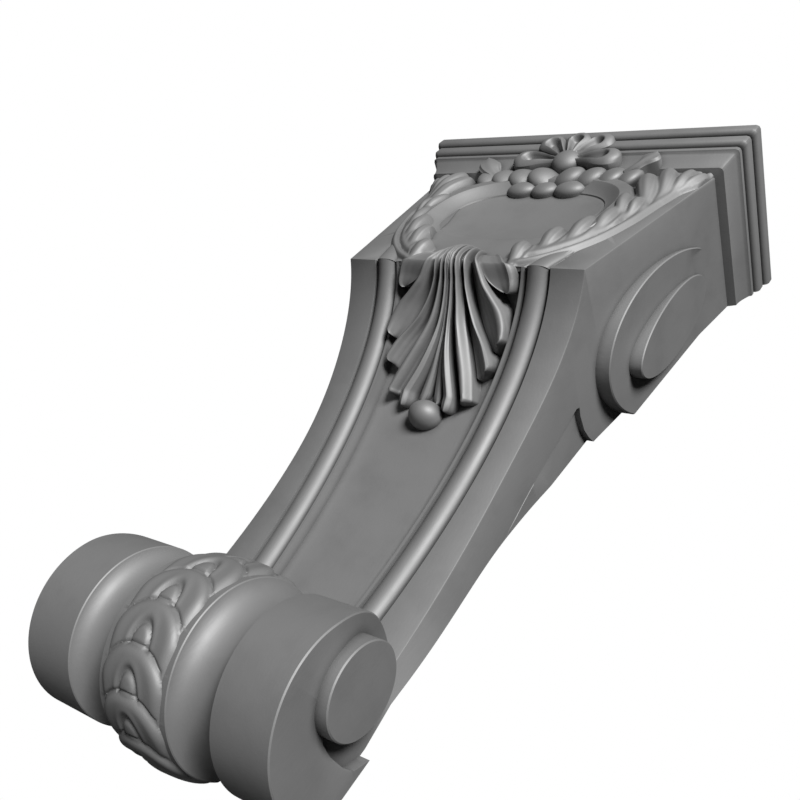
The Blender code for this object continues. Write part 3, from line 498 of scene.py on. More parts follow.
def roll_body():
    """The turned roll: a disc at each end, a cove beside it and the band in the middle."""
    cove_middle = (ROLL_BAND_HALF_WIDTH + ROLL_DISC_INNER_X) / 2
    cove_half = (ROLL_DISC_INNER_X - ROLL_BAND_HALF_WIDTH) / 2
    half = [(ROLL_BAND_HALF_WIDTH - ROLL_EDGE, ROLL_BAND_RADIUS),
            (ROLL_BAND_HALF_WIDTH, ROLL_BAND_RADIUS - ROLL_EDGE)]
    for share in np.linspace(-0.97, 0.97, 13):
        hollow = ROLL_COVE_SINK * math.sqrt(1 - share * share)
        level = mix(ROLL_BAND_RADIUS, ROLL_RADIUS, (share + 1) / 2)
        half.append((cove_middle + share * cove_half, level - hollow))
    half += [(ROLL_DISC_INNER_X, ROLL_RADIUS - ROLL_EDGE), (ROLL_DISC_INNER_X + ROLL_EDGE, ROLL_RADIUS)]
    profile = [(-x, r) for x, r in reversed(half)] + half
    angles = np.linspace(0.0, 2 * np.pi, 160, endpoint=False)
    rings = [roll(x, angles, r) for x, r in profile]
    side = []
    for r, inset in ((ROLL_RADIUS, ROLL_RIM_EDGE), (ROLL_RADIUS - ROLL_RIM_EDGE, 0.0), (ROLL_RADIUS * 0.55, 0.0)):
        side.append(roll(roll_side_x(angles) - inset, angles, r))
    side.append(roll(ROLL_RIM_X - 0.004, angles, 0.002))
    mirrored = [ring * np.array([-1.0, 1.0, 1.0]) for ring in reversed(side)]
    return loft("roll_body", mirrored + rings + side)


def roll_notch(side):
    """The place in the end disc that the neck's side runs into, as far as the step under the eye."""
    outline = [(-0.010, 0.3120), (0.0080, 0.3150), (0.0150, 0.3250), (0.0240, 0.3350), (0.0310, 0.3440)]
    outline += [(0.0300, 0.3560), (0.0260, 0.3640), (0.0241, 0.3651), (0.0173, 0.3649), (0.0093, 0.3629)]
    outline += [(0.0038, 0.3598), (-0.0006, 0.3509), (-0.010, 0.3380)]
    depths = [p[0] for p in outline]
    drops = [p[1] for p in outline]
    return loft("roll_notch", [point(side * x, depths, drops) for x in ROLL_NOTCH_X])


def oval_stud(name, half_depth, half_height, tilt, depth, drop, top_x, low_x, side, steps=96):
    """A flat oval stud on a side face; top_x gives its height at each drop, and low_x is where its root ends."""
    angle = np.linspace(0.0, 2 * np.pi, steps, endpoint=False)
    rings = []
    for spread, inset in ((0.0, None), (0.0, STUD_BEVEL), (-STUD_BEVEL, 0.0)):
        out = (half_depth + spread) * np.cos(angle)
        up = (half_height + spread) * np.sin(angle)
        here = depth + out * math.cos(tilt) + up * math.sin(tilt)
        fall = drop - (up * math.cos(tilt) - out * math.sin(tilt))
        x = np.full(steps, low_x) if inset is None else top_x(fall) - inset
        rings.append(point(side * x, here, fall))
    return loft(name, rings)


def disc_face(drop):
    """The disc's face leans in below its middle and a little at its top."""
    crown = DISC_CROWN_SINK * smooth((DISC_CROWN_DROP - drop) / DISC_CROWN_HEIGHT)
    return DISC_TOP_X - DISC_FALL * np.maximum(drop - DISC_FALL_DROP, 0.0) - crown


def studs(side):
    """The disc and the stud on the block's side, and the stud on the roll's end."""
    return [oval_stud("side_disc", DISC_HALF_DEPTH, DISC_HALF_HEIGHT, DISC_TILT, DISC_DEPTH, DISC_DROP, disc_face,
                      STUD_ROOT_X, side),
            oval_stud("side_eye", EYE_HALF_DEPTH, EYE_HALF_HEIGHT, 0.0, EYE_DEPTH, EYE_DROP,
                      lambda drop: np.full(len(drop), EYE_X), STUD_ROOT_X, side),
            oval_stud("roll_eye", ROLL_EYE_HALF_DEPTH, ROLL_EYE_HALF_HEIGHT, 0.0, ROLL_EYE_DEPTH, ROLL_EYE_DROP,
                      lambda drop: np.full(len(drop), ROLL_EYE_X), ROLL_DISC_OUTER_X - 0.012, side)]


def web_cutter(side):
    """Sinks the web behind the neck, between the scroll's end on the block and the wall."""
    outline = [(-0.010, 0.1560), (0.0043, 0.1645), (0.0103, 0.1667), (0.0190, 0.1674), (0.0235, 0.1668)]
    outline += [(0.0241, 0.1690), (0.0183, 0.1842), (0.0122, 0.2017), (0.0059, 0.2195), (0.0008, 0.2352)]
    outline += [(-0.010, 0.2600)]
    depth = np.array([p[0] for p in outline])
    drop = np.array([p[1] for p in outline])
    sink = WEB_SINK * np.minimum((WEB_END_DROP - drop) / WEB_HEIGHT, 1.1)
    inner = half_width(np.maximum(drop, WEB_TOP_DROP)) - sink
    return loft("web_cutter", [point(side * inner, depth, drop), point(side * 0.12, depth, drop)])


def oval_ring(spread_x, spread_z, rise, low=None, around=120):
    """A ring of the squarish oval on the block, at a rise that sinks to the low one at its lower end."""
    angle = 2 * np.pi * (np.arange(around) + 0.5) / around
    power = 2.0 / OVAL_SQUARENESS
    x = spread_x * np.sign(np.cos(angle)) * np.abs(np.cos(angle)) ** power
    z = spread_z * np.sign(np.sin(angle)) * np.abs(np.sin(angle)) ** power
    level = np.full(around, rise)
    if low is not None and rise > low:
        level = mix(low, level, smooth((z / spread_z + 0.92) / 0.50))
    return front(x, run_of(OVAL_DROP) - z, level)


def oval_frame():
    """The raised oval: a chamfered outside, a flat margin, a cove and a dished floor, on one rooted plinth."""
    outside = OVAL_MARGIN + OVAL_CHAMFER
    top = OVAL_RISE - OVAL_EDGE
    levels = [(outside, -ROOT - OVAL_DISH), (outside, 0.0), (OVAL_MARGIN, OVAL_RISE), (0.0006, OVAL_RISE),
              (0.0, top)]
    for a in np.radians(np.linspace(10.0, 90.0, 8)):
        levels.append((-OVAL_FRAME * math.sin(a), top * (1 - math.sin(a)) ** 1.2))
    levels += [(-OVAL_FRAME - OVAL_EDGE, OVAL_FLOOR), (-OVAL_FRAME - OVAL_SPARE, OVAL_FLOOR)]
    rings = [oval_ring(OVAL_HALF_WIDTH + s, OVAL_HALF_HEIGHT + s, rise, OVAL_LOW) for s, rise in levels]
    for share in np.linspace(0.94, 0.10, 12):
        wide = (OVAL_HALF_WIDTH - OVAL_FRAME) * share
        tall = (OVAL_HALF_HEIGHT - OVAL_FRAME) * share
        rings.append(oval_ring(wide, tall, OVAL_FLOOR - OVAL_DISH * (1 - share * share)))
    return loft("oval_frame", rings)


def oval_cutter():
    """Clears the block under the dished floor."""
    wide = OVAL_HALF_WIDTH + OVAL_SPARE
    tall = OVAL_HALF_HEIGHT + OVAL_SPARE
    return loft("oval_cutter", [oval_ring(wide, tall, rise) for rise in (-OVAL_DISH - 0.5 * ROOT, ROOT)])


def rosette_place(x, up, rise):
    """Places on the rosette, which stands almost upright before the cap's moulding."""
    depth = ROSETTE_DEPTH + ROSETTE_LEAN * up
    return point(x, depth + 0.95 * rise, ROSETTE_DROP - up + 0.12 * np.maximum(rise, 0.0))


def petal(turn, clear=0.0, steps=60, across=28):
    """A spoon-shaped petal: a broad rounded rim around a long hollow; with clear, the space in front of it."""
    t = np.linspace(0.0, 1.0, steps + 1)
    t = (NEAR_TIP * (0.6 * t + 0.4 * np.sin(0.5 * np.pi * t)))[:, None]
    u = -np.cos(np.pi * np.linspace(0.0, 1.0, across + 1))[None, :]
    length = math.hypot(ROSETTE_HALF_WIDTH * math.cos(turn), ROSETTE_HALF_HEIGHT * math.sin(turn))
    tip = 1.0 - 1.05 * PETAL_HALF_WIDTH / length
    end = np.sqrt(np.clip(1.0 - (np.maximum(t - tip, 0.0) / (1.0 - tip)) ** 2, 0.0, 1.0))
    narrow = PETAL_CLEAR_WIDE if clear else 1.0
    half = PETAL_HALF_WIDTH * mix(0.30, 1.0, smooth(t / 0.75)) * end * narrow
    out = length * mix(PETAL_START, PETAL_CLEAR_LONG if clear else 1.0, t)
    across_x, across_up = -math.sin(turn), math.cos(turn)
    x = out * math.cos(turn) + half * u * across_x
    up = out * math.sin(turn) + half * u * across_up
    dome = mix(0.65, 1.0, smooth(t / 0.5)) * (1.0 - 0.45 * np.abs(u) ** 3) * mix(0.45, 1.0, end)
    share = (out / length - PETAL_START) / (1.0 - PETAL_START)
    reach = np.hypot(u * narrow / 0.52, np.maximum(share - 0.60, 0.0) / 0.17)
    rise = PETAL_RISE * dome - PETAL_HOLLOW * smooth(1.25 * (1.22 - reach)) * smooth(share / 0.3)
    tops = rosette_place(x, up, rise - 0.0004 if clear else rise)
    ends = np.full((steps + 1, 2), clear if clear else -ROSETTE_BURY)
    return loft("petal", np.concatenate([tops, rosette_place(x[:, [-1, 0]], up[:, [-1, 0]], ends)], axis=1))


def dome(name, surface, x, y, half_x, half_y, rise, lean, sink, around=36):
    """An egg-shaped boss on a surface, with its top moved sideways by its lean."""
    angles = np.linspace(0.0, 2 * np.pi, around, endpoint=False)
    rings = [surface(x + half_x * np.cos(angles), y + half_y * np.sin(angles), np.full(around, -sink))]
    for a in np.radians(np.linspace(0.0, 87.0, 12)):
        r = math.cos(a) ** 0.9
        rings.append(surface(x + lean * math.sin(a) + half_x * r * np.cos(angles), y + half_y * r * np.sin(angles),
                             np.full(around, rise * math.sin(a))))
    return loft(name, rings)


def rosette():
    """Spoon-shaped petals around a domed button; the lowest petals are under the calyx."""
    pieces = [petal(2 * math.pi * k / ROSETTE_PETALS) for k in range(ROSETTE_SHOWN)]
    pieces.append(dome("button", rosette_place, 0.0, 0.0, ROSETTE_BUTTON, ROSETTE_BUTTON, ROSETTE_BUTTON_RISE, 0.0,
                       ROSETTE_BURY, 48))
    return pieces


def fall(*places):
    """A path on the block from places given as x, drop and lift."""
    return [(x, run_of(drop), lift) for x, drop, lift in places]


# The lobes under the rosette: the distance from the middle, the half width and the rise of each pair
CALYX = [(0.0064, 0.0094, 0.0092), (0.0190, 0.0092, 0.0086), (0.0305, 0.0088, 0.0080), (0.0412, 0.0078, 0.0074)]
CALYX_DROP = 0.0382
CALYX_HALF_HEIGHT = 0.0112
CALYX_LEAN = 0.0048
# The drops over the oval's rim: x, half width and rise
DROPS = [(-0.0170, 0.0092, 0.0050), (-0.0025, 0.0082, 0.0046), (0.0128, 0.0094, 0.0052)]
DROPS_DROP = 0.0492
DROPS_HALF_HEIGHT = 0.0074
DROPS_LEAN = 0.0012
# The side tips: the places of the path, half the width along it, the rise and the share at which the end begins
SIDE_TIPS = [(fall((0.0400, 0.0375, 0.0030), (0.0450, 0.0345, 0.0055), (0.0495, 0.0295, 0.0080),
                   (0.0534, 0.0225, 0.0092)),
              [(0.0, 0.0030), (0.45, 0.0034), (0.78, 0.0064), (1.0, 0.0062)], 0.0040, 0.74),
             (fall((-0.0385, 0.0375, 0.0030), (-0.0440, 0.0340, 0.0060), (-0.0485, 0.0285, 0.0080),
                   (-0.0525, 0.0215, 0.0085)),
              [(0.0, 0.0040), (0.55, 0.0066), (1.0, 0.0050)], 0.0036, 0.62)]
SIDE_TIP_ROOT = 0.0100


def calyx():
    """The row of lobes under the rosette, the drops over the oval's rim and the two side tips."""
    pieces = []
    for side in (-1.0, 1.0):
        for x, half, rise in CALYX:
            pieces.append(dome("lobe", front, side * x, run_of(CALYX_DROP), half, CALYX_HALF_HEIGHT, rise,
                               side * CALYX_LEAN, ROOT))
    for path, widths, rise, tip in SIDE_TIPS:
        pieces.append(blade("side_tip", front, path, widths, ROUND, rise, tip, SIDE_TIP_ROOT))
    for x, half, rise in DROPS:
        pieces.append(dome("drop", front, x, run_of(DROPS_DROP), half, DROPS_HALF_HEIGHT, rise, DROPS_LEAN,
                           OVAL_DISH + ROOT))
    return pieces


# How steeply the ground falls away beside a lobe
LOBE_FALL = 1.6
# The spray's stem in x and drop
STEM = [(0.0255, 0.1445), (0.0400, 0.1372), (0.0484, 0.1293), (0.0601, 0.1112), (0.0656, 0.0953), (0.0716, 0.0673),
        (0.0780, 0.0445), (0.0840, 0.0300)]
STEM_RISE = 0.0034
STEM_HALF_WIDTH = 0.0038
# The sheet behind the stem: its reach from the stem along it, and its rise
SHEET_REACH = [(0.0, 0.0050), (0.10, 0.0110), (0.55, 0.0135), (0.80, 0.0150), (1.0, 0.0080)]
SHEET_RISE = 0.0040
# Its lobes: the root's x and drop, the tip's x and drop, half width, rise and the bow of the middle line
LOBES = [(0.0300, 0.1445, 0.0290, 0.1240, 0.0066, 0.0062, 0.0006),
         (0.0380, 0.1345, 0.0398, 0.1075, 0.0070, 0.0072, 0.0012),
         (0.0465, 0.1260, 0.0504, 0.0935, 0.0068, 0.0074, 0.0012),
         (0.0545, 0.1135, 0.0570, 0.0820, 0.0062, 0.0070, 0.0012),
         (0.0605, 0.0965, 0.0545, 0.0645, 0.0060, 0.0080, 0.0012),
         (0.0635, 0.0915, 0.0632, 0.0685, 0.0046, 0.0066, 0.0010),
         (0.0672, 0.0790, 0.0555, 0.0385, 0.0092, 0.0090, 0.0020),
         (0.0705, 0.0685, 0.0640, 0.0310, 0.0078, 0.0088, 0.0022),
         (0.0715, 0.0630, 0.0765, 0.0310, 0.0050, 0.0070, 0.0014),
         (0.0735, 0.0580, 0.0835, 0.0335, 0.0034, 0.0052, 0.0008)]


def joined(a, b, ease):
    """The higher of two heights, eased where they meet."""
    return 0.5 * (a + b + np.sqrt((a - b) ** 2 + ease * ease))


def lobe_height(x, drop, root_x, root_drop, tip_x, tip_drop, half, rise, bow):
    """The height of a lobe at each place, which falls away steeply beyond its outline."""
    length = math.hypot(tip_x - root_x, tip_drop - root_drop)
    ahead = ((tip_x - root_x) / length, (tip_drop - root_drop) / length)
    t = ((x - root_x) * ahead[0] + (drop - root_drop) * ahead[1]) / length
    away = -(x - root_x) * ahead[1] + (drop - root_drop) * ahead[0] - bow * 4 * t * (1 - t)
    reach = np.clip((t - 0.66) / 0.34, 0.0, 1.0)
    end = np.sqrt(np.clip(1.0 - reach * reach, 0.0, 1.0))
    wide = half * mix(0.42, 1.0, smooth(t / 0.62)) * np.maximum(end, 0.02)
    u = away / wide
    inside = np.clip(u, -1.0, 1.0)
    height = rise * mix(0.30, 1.0, smooth(t / 0.62)) * end ** 0.55 * swell(LOBE, inside.ravel()).reshape(u.shape)
    beyond = np.maximum(np.abs(u) - 1.0, 0.0) * wide + np.maximum(t - 1.0, 0.0) * length
    beyond = beyond + np.maximum(-t, 0.0) * length
    return height - LOBE_FALL * beyond


def eased(height):
    """Evens out a field of heights a little."""
    for axis in (0, 1):
        ahead = np.roll(height, 1, axis=axis)
        behind = np.roll(height, -1, axis=axis)
        even = 0.25 * ahead + 0.5 * height + 0.25 * behind
        height = np.concatenate([height[:1], even[1:-1], height[-1:]]) if axis == 0 else np.concatenate(
            [height[:, :1], even[:, 1:-1], height[:, -1:]], axis=1)
    return height


def spray(side, steps=260, across=58):
    """A leaf spray up one side of the oval: lobes that lie over towards the oval, on a sheet along the stem."""
    s = np.linspace(0.0, 1.0, steps + 1)
    stem = curve(STEM, s)
    along = curve(STEM, np.minimum(s + 0.03, 1.0)) - curve(STEM, np.maximum(s - 0.03, 0.0))
    along = along / np.linalg.norm(along, axis=1)[:, None]
    inward = np.stack([along[:, 1], -along[:, 0]], axis=1)
    reach = mix(0.0150, 0.0260, smooth(2.0 * s))[:, None]
    w = mix(-0.0060, reach, np.linspace(0.0, 1.0, across + 1)[None, :])
    x = stem[:, :1] + inward[:, :1] * w
    drop = stem[:, 1:2] + inward[:, 1:2] * w
    bar = STEM_RISE * (1.0 - smooth(np.abs(w) / STEM_HALF_WIDTH)) * mix(0.4, 1.0, smooth(s / 0.06))[:, None]
    edge = swell(SHEET_REACH, s)[:, None]
    sheet = SHEET_RISE * np.where(w > 0, 1.0 - smooth((w - edge) / 0.0030), 0.0) * smooth(w / 0.0050)
    height = joined(bar - 0.0008, sheet * mix(0.5, 1.0, smooth(s / 0.1))[:, None] - 0.0008, 0.0006)
    for sizes in LOBES:
        height = joined(height, lobe_height(x, drop, *sizes), 0.0005)
    height = eased(eased(np.maximum(height, -0.0012)))
    x = np.minimum(x, half_width(drop) - 0.0006)
    tops = front(side * x, run_of(drop), height)
    roots = front(side * x[:, [-1, 0]], run_of(drop[:, [-1, 0]]), np.full((steps + 1, 2), -ROOT))
    return [loft("spray", np.concatenate([tops, roots], axis=1))]


# The fanned leaf's ridges in section: run on the front and level over it
FAN_LINE = [(-0.0190, -0.0050), (-0.0140, 0.0016), (-0.0085, 0.0057), (0.0, 0.0067), (0.0080, 0.0052),
            (0.0160, 0.0044), (0.0300, 0.0032), (0.0450, 0.0022), (0.0600, -0.0003),
            (0.0700, -0.0024), (0.0850, -0.0050)]
FAN_TOP_RUN = -0.0165
# The grooves between the ribs, from the middle out, each as run, x and level over the line
GROOVES = [[(-0.017, 0.0004, 0.0004), (0.000, 0.0006, 0.0010), (0.018, 0.0008, 0.0016), (0.030, 0.0012, 0.0006),
            (0.042, 0.0021, -0.0012), (0.053, 0.0041, -0.0022), (0.066, 0.0085, -0.0024)],
           [(-0.017, 0.0018, -0.0008), (0.004, 0.0026, -0.0012), (0.018, 0.0030, -0.0016), (0.030, 0.0038, -0.0024),
            (0.042, 0.0066, -0.0030), (0.053, 0.0108, -0.0032), (0.066, 0.0165, -0.0030)],
           [(-0.017, 0.0040, -0.0016), (0.004, 0.0058, -0.0026), (0.018, 0.0083, -0.0034), (0.030, 0.0114, -0.0038),
            (0.042, 0.0168, -0.0038), (0.053, 0.0216, -0.0036), (0.066, 0.0256, -0.0032)],
           [(-0.017, 0.0062, -0.0034), (0.000, 0.0092, -0.0048), (0.008, 0.0099, -0.0052), (0.018, 0.0127, -0.0052),
            (0.029, 0.0182, -0.0050), (0.041, 0.0272, -0.0046), (0.054, 0.0340, -0.0042)],
           [(-0.017, 0.0088, -0.0034), (-0.002, 0.0135, -0.0030), (0.007, 0.0188, -0.0014), (0.015, 0.0247, -0.0006),
            (0.022, 0.0303, -0.0006), (0.029, 0.0334, -0.0010), (0.040, 0.0346, -0.0020)],
           [(-0.017, 0.0120, -0.0100), (-0.010, 0.0200, -0.0085), (-0.003, 0.0280, -0.0070), (0.004, 0.0330, -0.0065),
            (0.013, 0.0352, -0.0070)]]
# A rib's height across, from the groove by the middle outwards: a round one, a roof, a strip, a scoop and a flap
DOME = [(-1.0, -0.90), (-0.88, 0.08), (-0.58, 0.74), (0.0, 1.0), (0.58, 0.74), (0.88, 0.08), (1.0, -0.90)]
ROOF = [(-1.0, -0.80), (-0.92, 0.00), (-0.62, 0.26), (-0.24, 0.82), (-0.08, 1.0), (0.10, 1.0), (0.86, 0.42),
        (1.0, -0.60)]
STRIP = [(-1.0, -0.40), (-0.92, 0.00), (-0.50, 0.10), (0.02, 0.56), (0.36, 0.97), (0.48, 1.0), (0.74, 0.92),
         (0.92, 0.40), (1.0, -0.60)]
SCOOP = [(-1.0, -0.30), (-0.92, 0.00), (-0.40, 0.08), (0.12, 0.46), (0.55, 0.92), (0.68, 1.0), (0.82, 0.95),
         (0.94, 0.66), (1.0, -0.30)]
FLAP = [(-1.0, -0.20), (-0.70, 0.55), (-0.20, 0.62), (0.35, 0.80), (0.72, 1.0), (0.90, 0.80), (1.0, 0.0)]
# The ribs between them: section, the ridge's level at the crown and below, the tip's run, and how blunt
# and slanted the end is
RIBS = [(DOME, 0.0014, 0.0028, 0.0735, 2.0, 0.0), (ROOF, 0.0010, 0.0030, 0.0680, 2.6, 0.10),
        (STRIP, 0.0000, 0.0018, 0.0530, 3.4, 0.30), (SCOOP, -0.0012, 0.0020, 0.0395, 3.0, 0.30),
        (FLAP, -0.0030, -0.0012, 0.0130, 2.0, -0.20)]
# The length of a rib's end for half its width, how far ribs overlap, and how far their ends dip
RIB_ROUND_END = 1.1
RIB_CUT_END = 0.5
RIB_OVERLAP = 0.00006
RIB_END_DIP = 0.0012
FAN_ROOT = 0.0125
# Each ridge of the keel: its places as x, run and lift, and half its width along them
KEEL = [(0.0004, -0.0165, -0.0010), (0.0007, 0.020, -0.0006), (0.0013, 0.042, -0.0022), (0.0026, 0.056, -0.0034),
        (0.0046, 0.070, -0.0040)]
KEEL_WIDTHS = [(0.0, 0.0006), (0.5, 0.0011), (1.0, 0.0030)]
KEEL_RISE = 0.0024
BALL_X = 0.0012
BALL_RUN = 0.0757
BALL_RADIUS = 0.0086
BALL_HEIGHT_SHARE = 0.84
BALL_SINK = 0.0050


def fan_place(x, run, rise):
    """Places on the fanned leaf's own surface, which rounds the bend in one easy line."""
    knots = np.array([front(0.0, k, level)[1:] for k, level in FAN_LINE])
    at = np.array([k[0] for k in FAN_LINE])
    spot, way = line_through(at, knots, np.clip(np.ravel(run), at[0], at[-1] - 1e-6))
    way = way / np.linalg.norm(way, axis=1)[:, None]
    out = np.stack([way[:, 1], -way[:, 0]], axis=1)
    place = spot + out * np.ravel(rise)[:, None]
    return np.concatenate([np.ravel(x)[:, None], place], axis=1).reshape(np.shape(x) + (3,))


def groove(knots, run):
    """A groove's distance from the middle and its level at each run."""
    at = np.array([k[0] for k in knots])
    values = np.array([k[1:] for k in knots])
    found = line_through(at, values, np.clip(run, at[0], at[-1]))[0]
    return found[..., 0], found[..., 1]


def rib(side, inner, outer, section, crown, ridge, tip_run, blunt, skew, steps=56, across=24):
    """A rib of the fanned leaf between two grooves; its end is round where blunt is 2 and cut off above that."""
    t = NEAR_TIP * np.sin(0.5 * np.pi * np.linspace(0.0, 1.0, steps + 1))[:, None]
    u = -np.cos(np.pi * np.linspace(0.0, 1.0, across + 1))[None, :]
    half_tip = 0.5 * (groove(outer, np.array(tip_run))[0] - groove(inner, np.array(tip_run))[0])
    tip = 1.0 - (RIB_ROUND_END if blunt < 2.5 else RIB_CUT_END) * half_tip / (tip_run - FAN_TOP_RUN)
    end = np.clip(1.0 - (np.maximum(t - tip, 0.0) / (1.0 - tip)) ** blunt, 0.0, 1.0) ** (1.0 / blunt)
    run = mix(FAN_TOP_RUN, tip_run, t) - skew * 2.0 * half_tip * smooth(2.0 * t - 1.0) * u * end
    low, low_level = groove(inner, run)
    high, high_level = groove(outer, run)
    x = 0.5 * (low + high) + (0.5 * (high - low) + RIB_OVERLAP) * u * end
    base = mix(low_level, high_level, 0.5 + 0.5 * u)
    top = mix(crown, ridge, smooth((run + 0.004) / 0.016))
    lift = base + (top - base) * swell(section, u[0])[None, :] - RIB_END_DIP * (1.0 - end)
    tops = fan_place(side * x, run, lift)
    roots = fan_place(side * x[:, [-1, 0]], run[:, [-1, 0]], np.full((steps + 1, 2), -FAN_ROOT))
    return loft("rib", np.concatenate([tops, roots], axis=1))


def keel(side):
    """The fine pair of ridges in the middle, which part over the ball."""
    path = [(side * x, run, lift) for x, run, lift in KEEL]
    return blade("keel", fan_place, path, KEEL_WIDTHS, DOME, KEEL_RISE, 0.94, FAN_ROOT, steps=44)


def fan():
    """The fanned leaf that hangs over the bend, and the curled ball at its tip."""
    pieces = []
    for side in (-1.0, 1.0):
        for inner, outer, rib_sizes in zip(GROOVES, GROOVES[1:], RIBS):
            pieces.append(rib(side, inner, outer, *rib_sizes))
        pieces.append(keel(side))
    angles = np.linspace(0.0, 2 * np.pi, 48, endpoint=False)
    rings = []
    for a in np.radians(np.linspace(-84.0, 84.0, 17)):
        r = BALL_RADIUS * math.cos(a)
        rings.append(front(BALL_X + r * np.cos(angles), BALL_RUN + BALL_HEIGHT_SHARE * r * np.sin(angles),
                           BALL_RADIUS * math.sin(a) - BALL_SINK))
    pieces.append(loft("ball", rings))
    return pieces


def scales(rows=310, across=50):
    """The horseshoe leaves that overlap around the band of the roll, each round a small tongue, as one skin."""
    step = ROLL_BAND_RADIUS * SCALE_STEP
    first = ROLL_BAND_RADIUS * SCALE_FIRST
    last = first + (SCALE_COUNT - 1) * step + ROLL_BAND_RADIUS * SCALE_SPAN
    arc = np.linspace(first - 0.0008, last, rows + 1)[:, None]
    edge = SCALE_HALF_WIDTH + 0.0008
    x = np.linspace(-edge, edge, across + 1)[None, :]
    height = np.full((rows + 1, across + 1), SCALE_ROOT)
    for k in range(SCALE_COUNT):
        down = arc - first - k * step
        reach = np.hypot(x / SCALE_HALF_WIDTH, np.maximum(SCALE_ROUND - down, 0.0) / SCALE_ROUND)
        rim = np.clip((1.0 - reach) / 0.27, 0.0, 1.0)
        cover = np.sqrt(1.0 - (1.0 - rim) ** 2)
        tongue = np.hypot(x / SCALE_TONGUE_HALF_WIDTH,
                          np.maximum(SCALE_TONGUE_TOP + SCALE_TONGUE_ROUND - down, 0.0) / SCALE_TONGUE_ROUND)
        level = SCALE_RISE * cover - SCALE_TILT * np.maximum(down, 0.0)
        level = level + SCALE_LIP * np.exp(-((tongue - 1.35) / 0.26) ** 2)
        cut = level - SCALE_GROOVE * np.exp(-((tongue - 1.0) / 0.17) ** 2)
        level = np.where(level > SCALE_FLOOR, np.maximum(cut, SCALE_FLOOR), level)
        level = level + SCALE_TONGUE_RISE * np.clip(1.0 - tongue * tongue, 0.0, 1.0)
        cut = height - 0.6 * SCALE_GROOVE * np.exp(-((reach - 1.03) / 0.035) ** 2)
        height = np.where(height > SCALE_FLOOR, np.maximum(cut, SCALE_FLOOR), height)
        height = np.maximum(height, np.where(reach < 1.0, level, SCALE_ROOT))
    wide = np.broadcast_to(x, height.shape)
    tops = roll(wide, np.broadcast_to(arc, height.shape) / ROLL_BAND_RADIUS, ROLL_BAND_RADIUS + height)
    roots = roll(wide[:, [-1, 0]], np.broadcast_to(arc, (rows + 1, 2)) / ROLL_BAND_RADIUS, ROLL_BAND_RADIUS - 0.003)
    return [loft("scales", np.concatenate([tops, roots], axis=1))]


def group(name, things):
    """Moves solids into a collection of their own."""
    collection = bpy.data.collections.new(name)
    bpy.context.scene.collection.children.link(collection)
    for thing in things:
        bpy.context.scene.collection.objects.unlink(thing)
        collection.objects.link(thing)
    return collection


def boolean(target, operation, things):
    """Joins or cuts with solids and takes them away."""
    collection = group(operation.lower(), things)
    step = target.modifiers.new("step", "BOOLEAN")
    step.operation = operation
    step.solver = "MANIFOLD"
    step.operand_type = "COLLECTION"
    step.collection = collection
    graph = bpy.context.evaluated_depsgraph_get()
    mesh = bpy.data.meshes.new_from_object(target.evaluated_get(graph))
    target.modifiers.clear()
    target.data = mesh
    for thing in things:
        bpy.data.objects.remove(thing)
    bpy.data.collections.remove(collection)


# Edges that turn by more than this stay sharp
SHARP_ANGLE = math.radians(32.0)


def finish_mesh(target):
    """Cuts away what is behind the wall plane and sets the shading."""
    shape = bmesh.new()
    shape.from_mesh(target.data)
    everything = shape.verts[:] + shape.edges[:] + shape.faces[:]
    bmesh.ops.bisect_plane(shape, geom=everything, dist=1e-7, plane_co=(0, 0, 0), plane_no=(0, 1, 0),
                           clear_outer=True)
    rim = [edge for edge in shape.edges if edge.is_boundary]
    bmesh.ops.contextual_create(shape, geom=rim)
    bmesh.ops.dissolve_degenerate(shape, dist=1e-6, edges=shape.edges)
    bmesh.ops.triangulate(shape, faces=shape.faces)
    bmesh.ops.recalc_face_normals(shape, faces=shape.faces)
    shape.to_mesh(target.data)
    shape.free()
    target.data.polygons.foreach_set("use_smooth", [True] * len(target.data.polygons))
    target.data.set_sharp_from_angle(angle=SHARP_ANGLE)


# The paint's grey before wear and the painted shade in the hollows
PAINT = 0.118


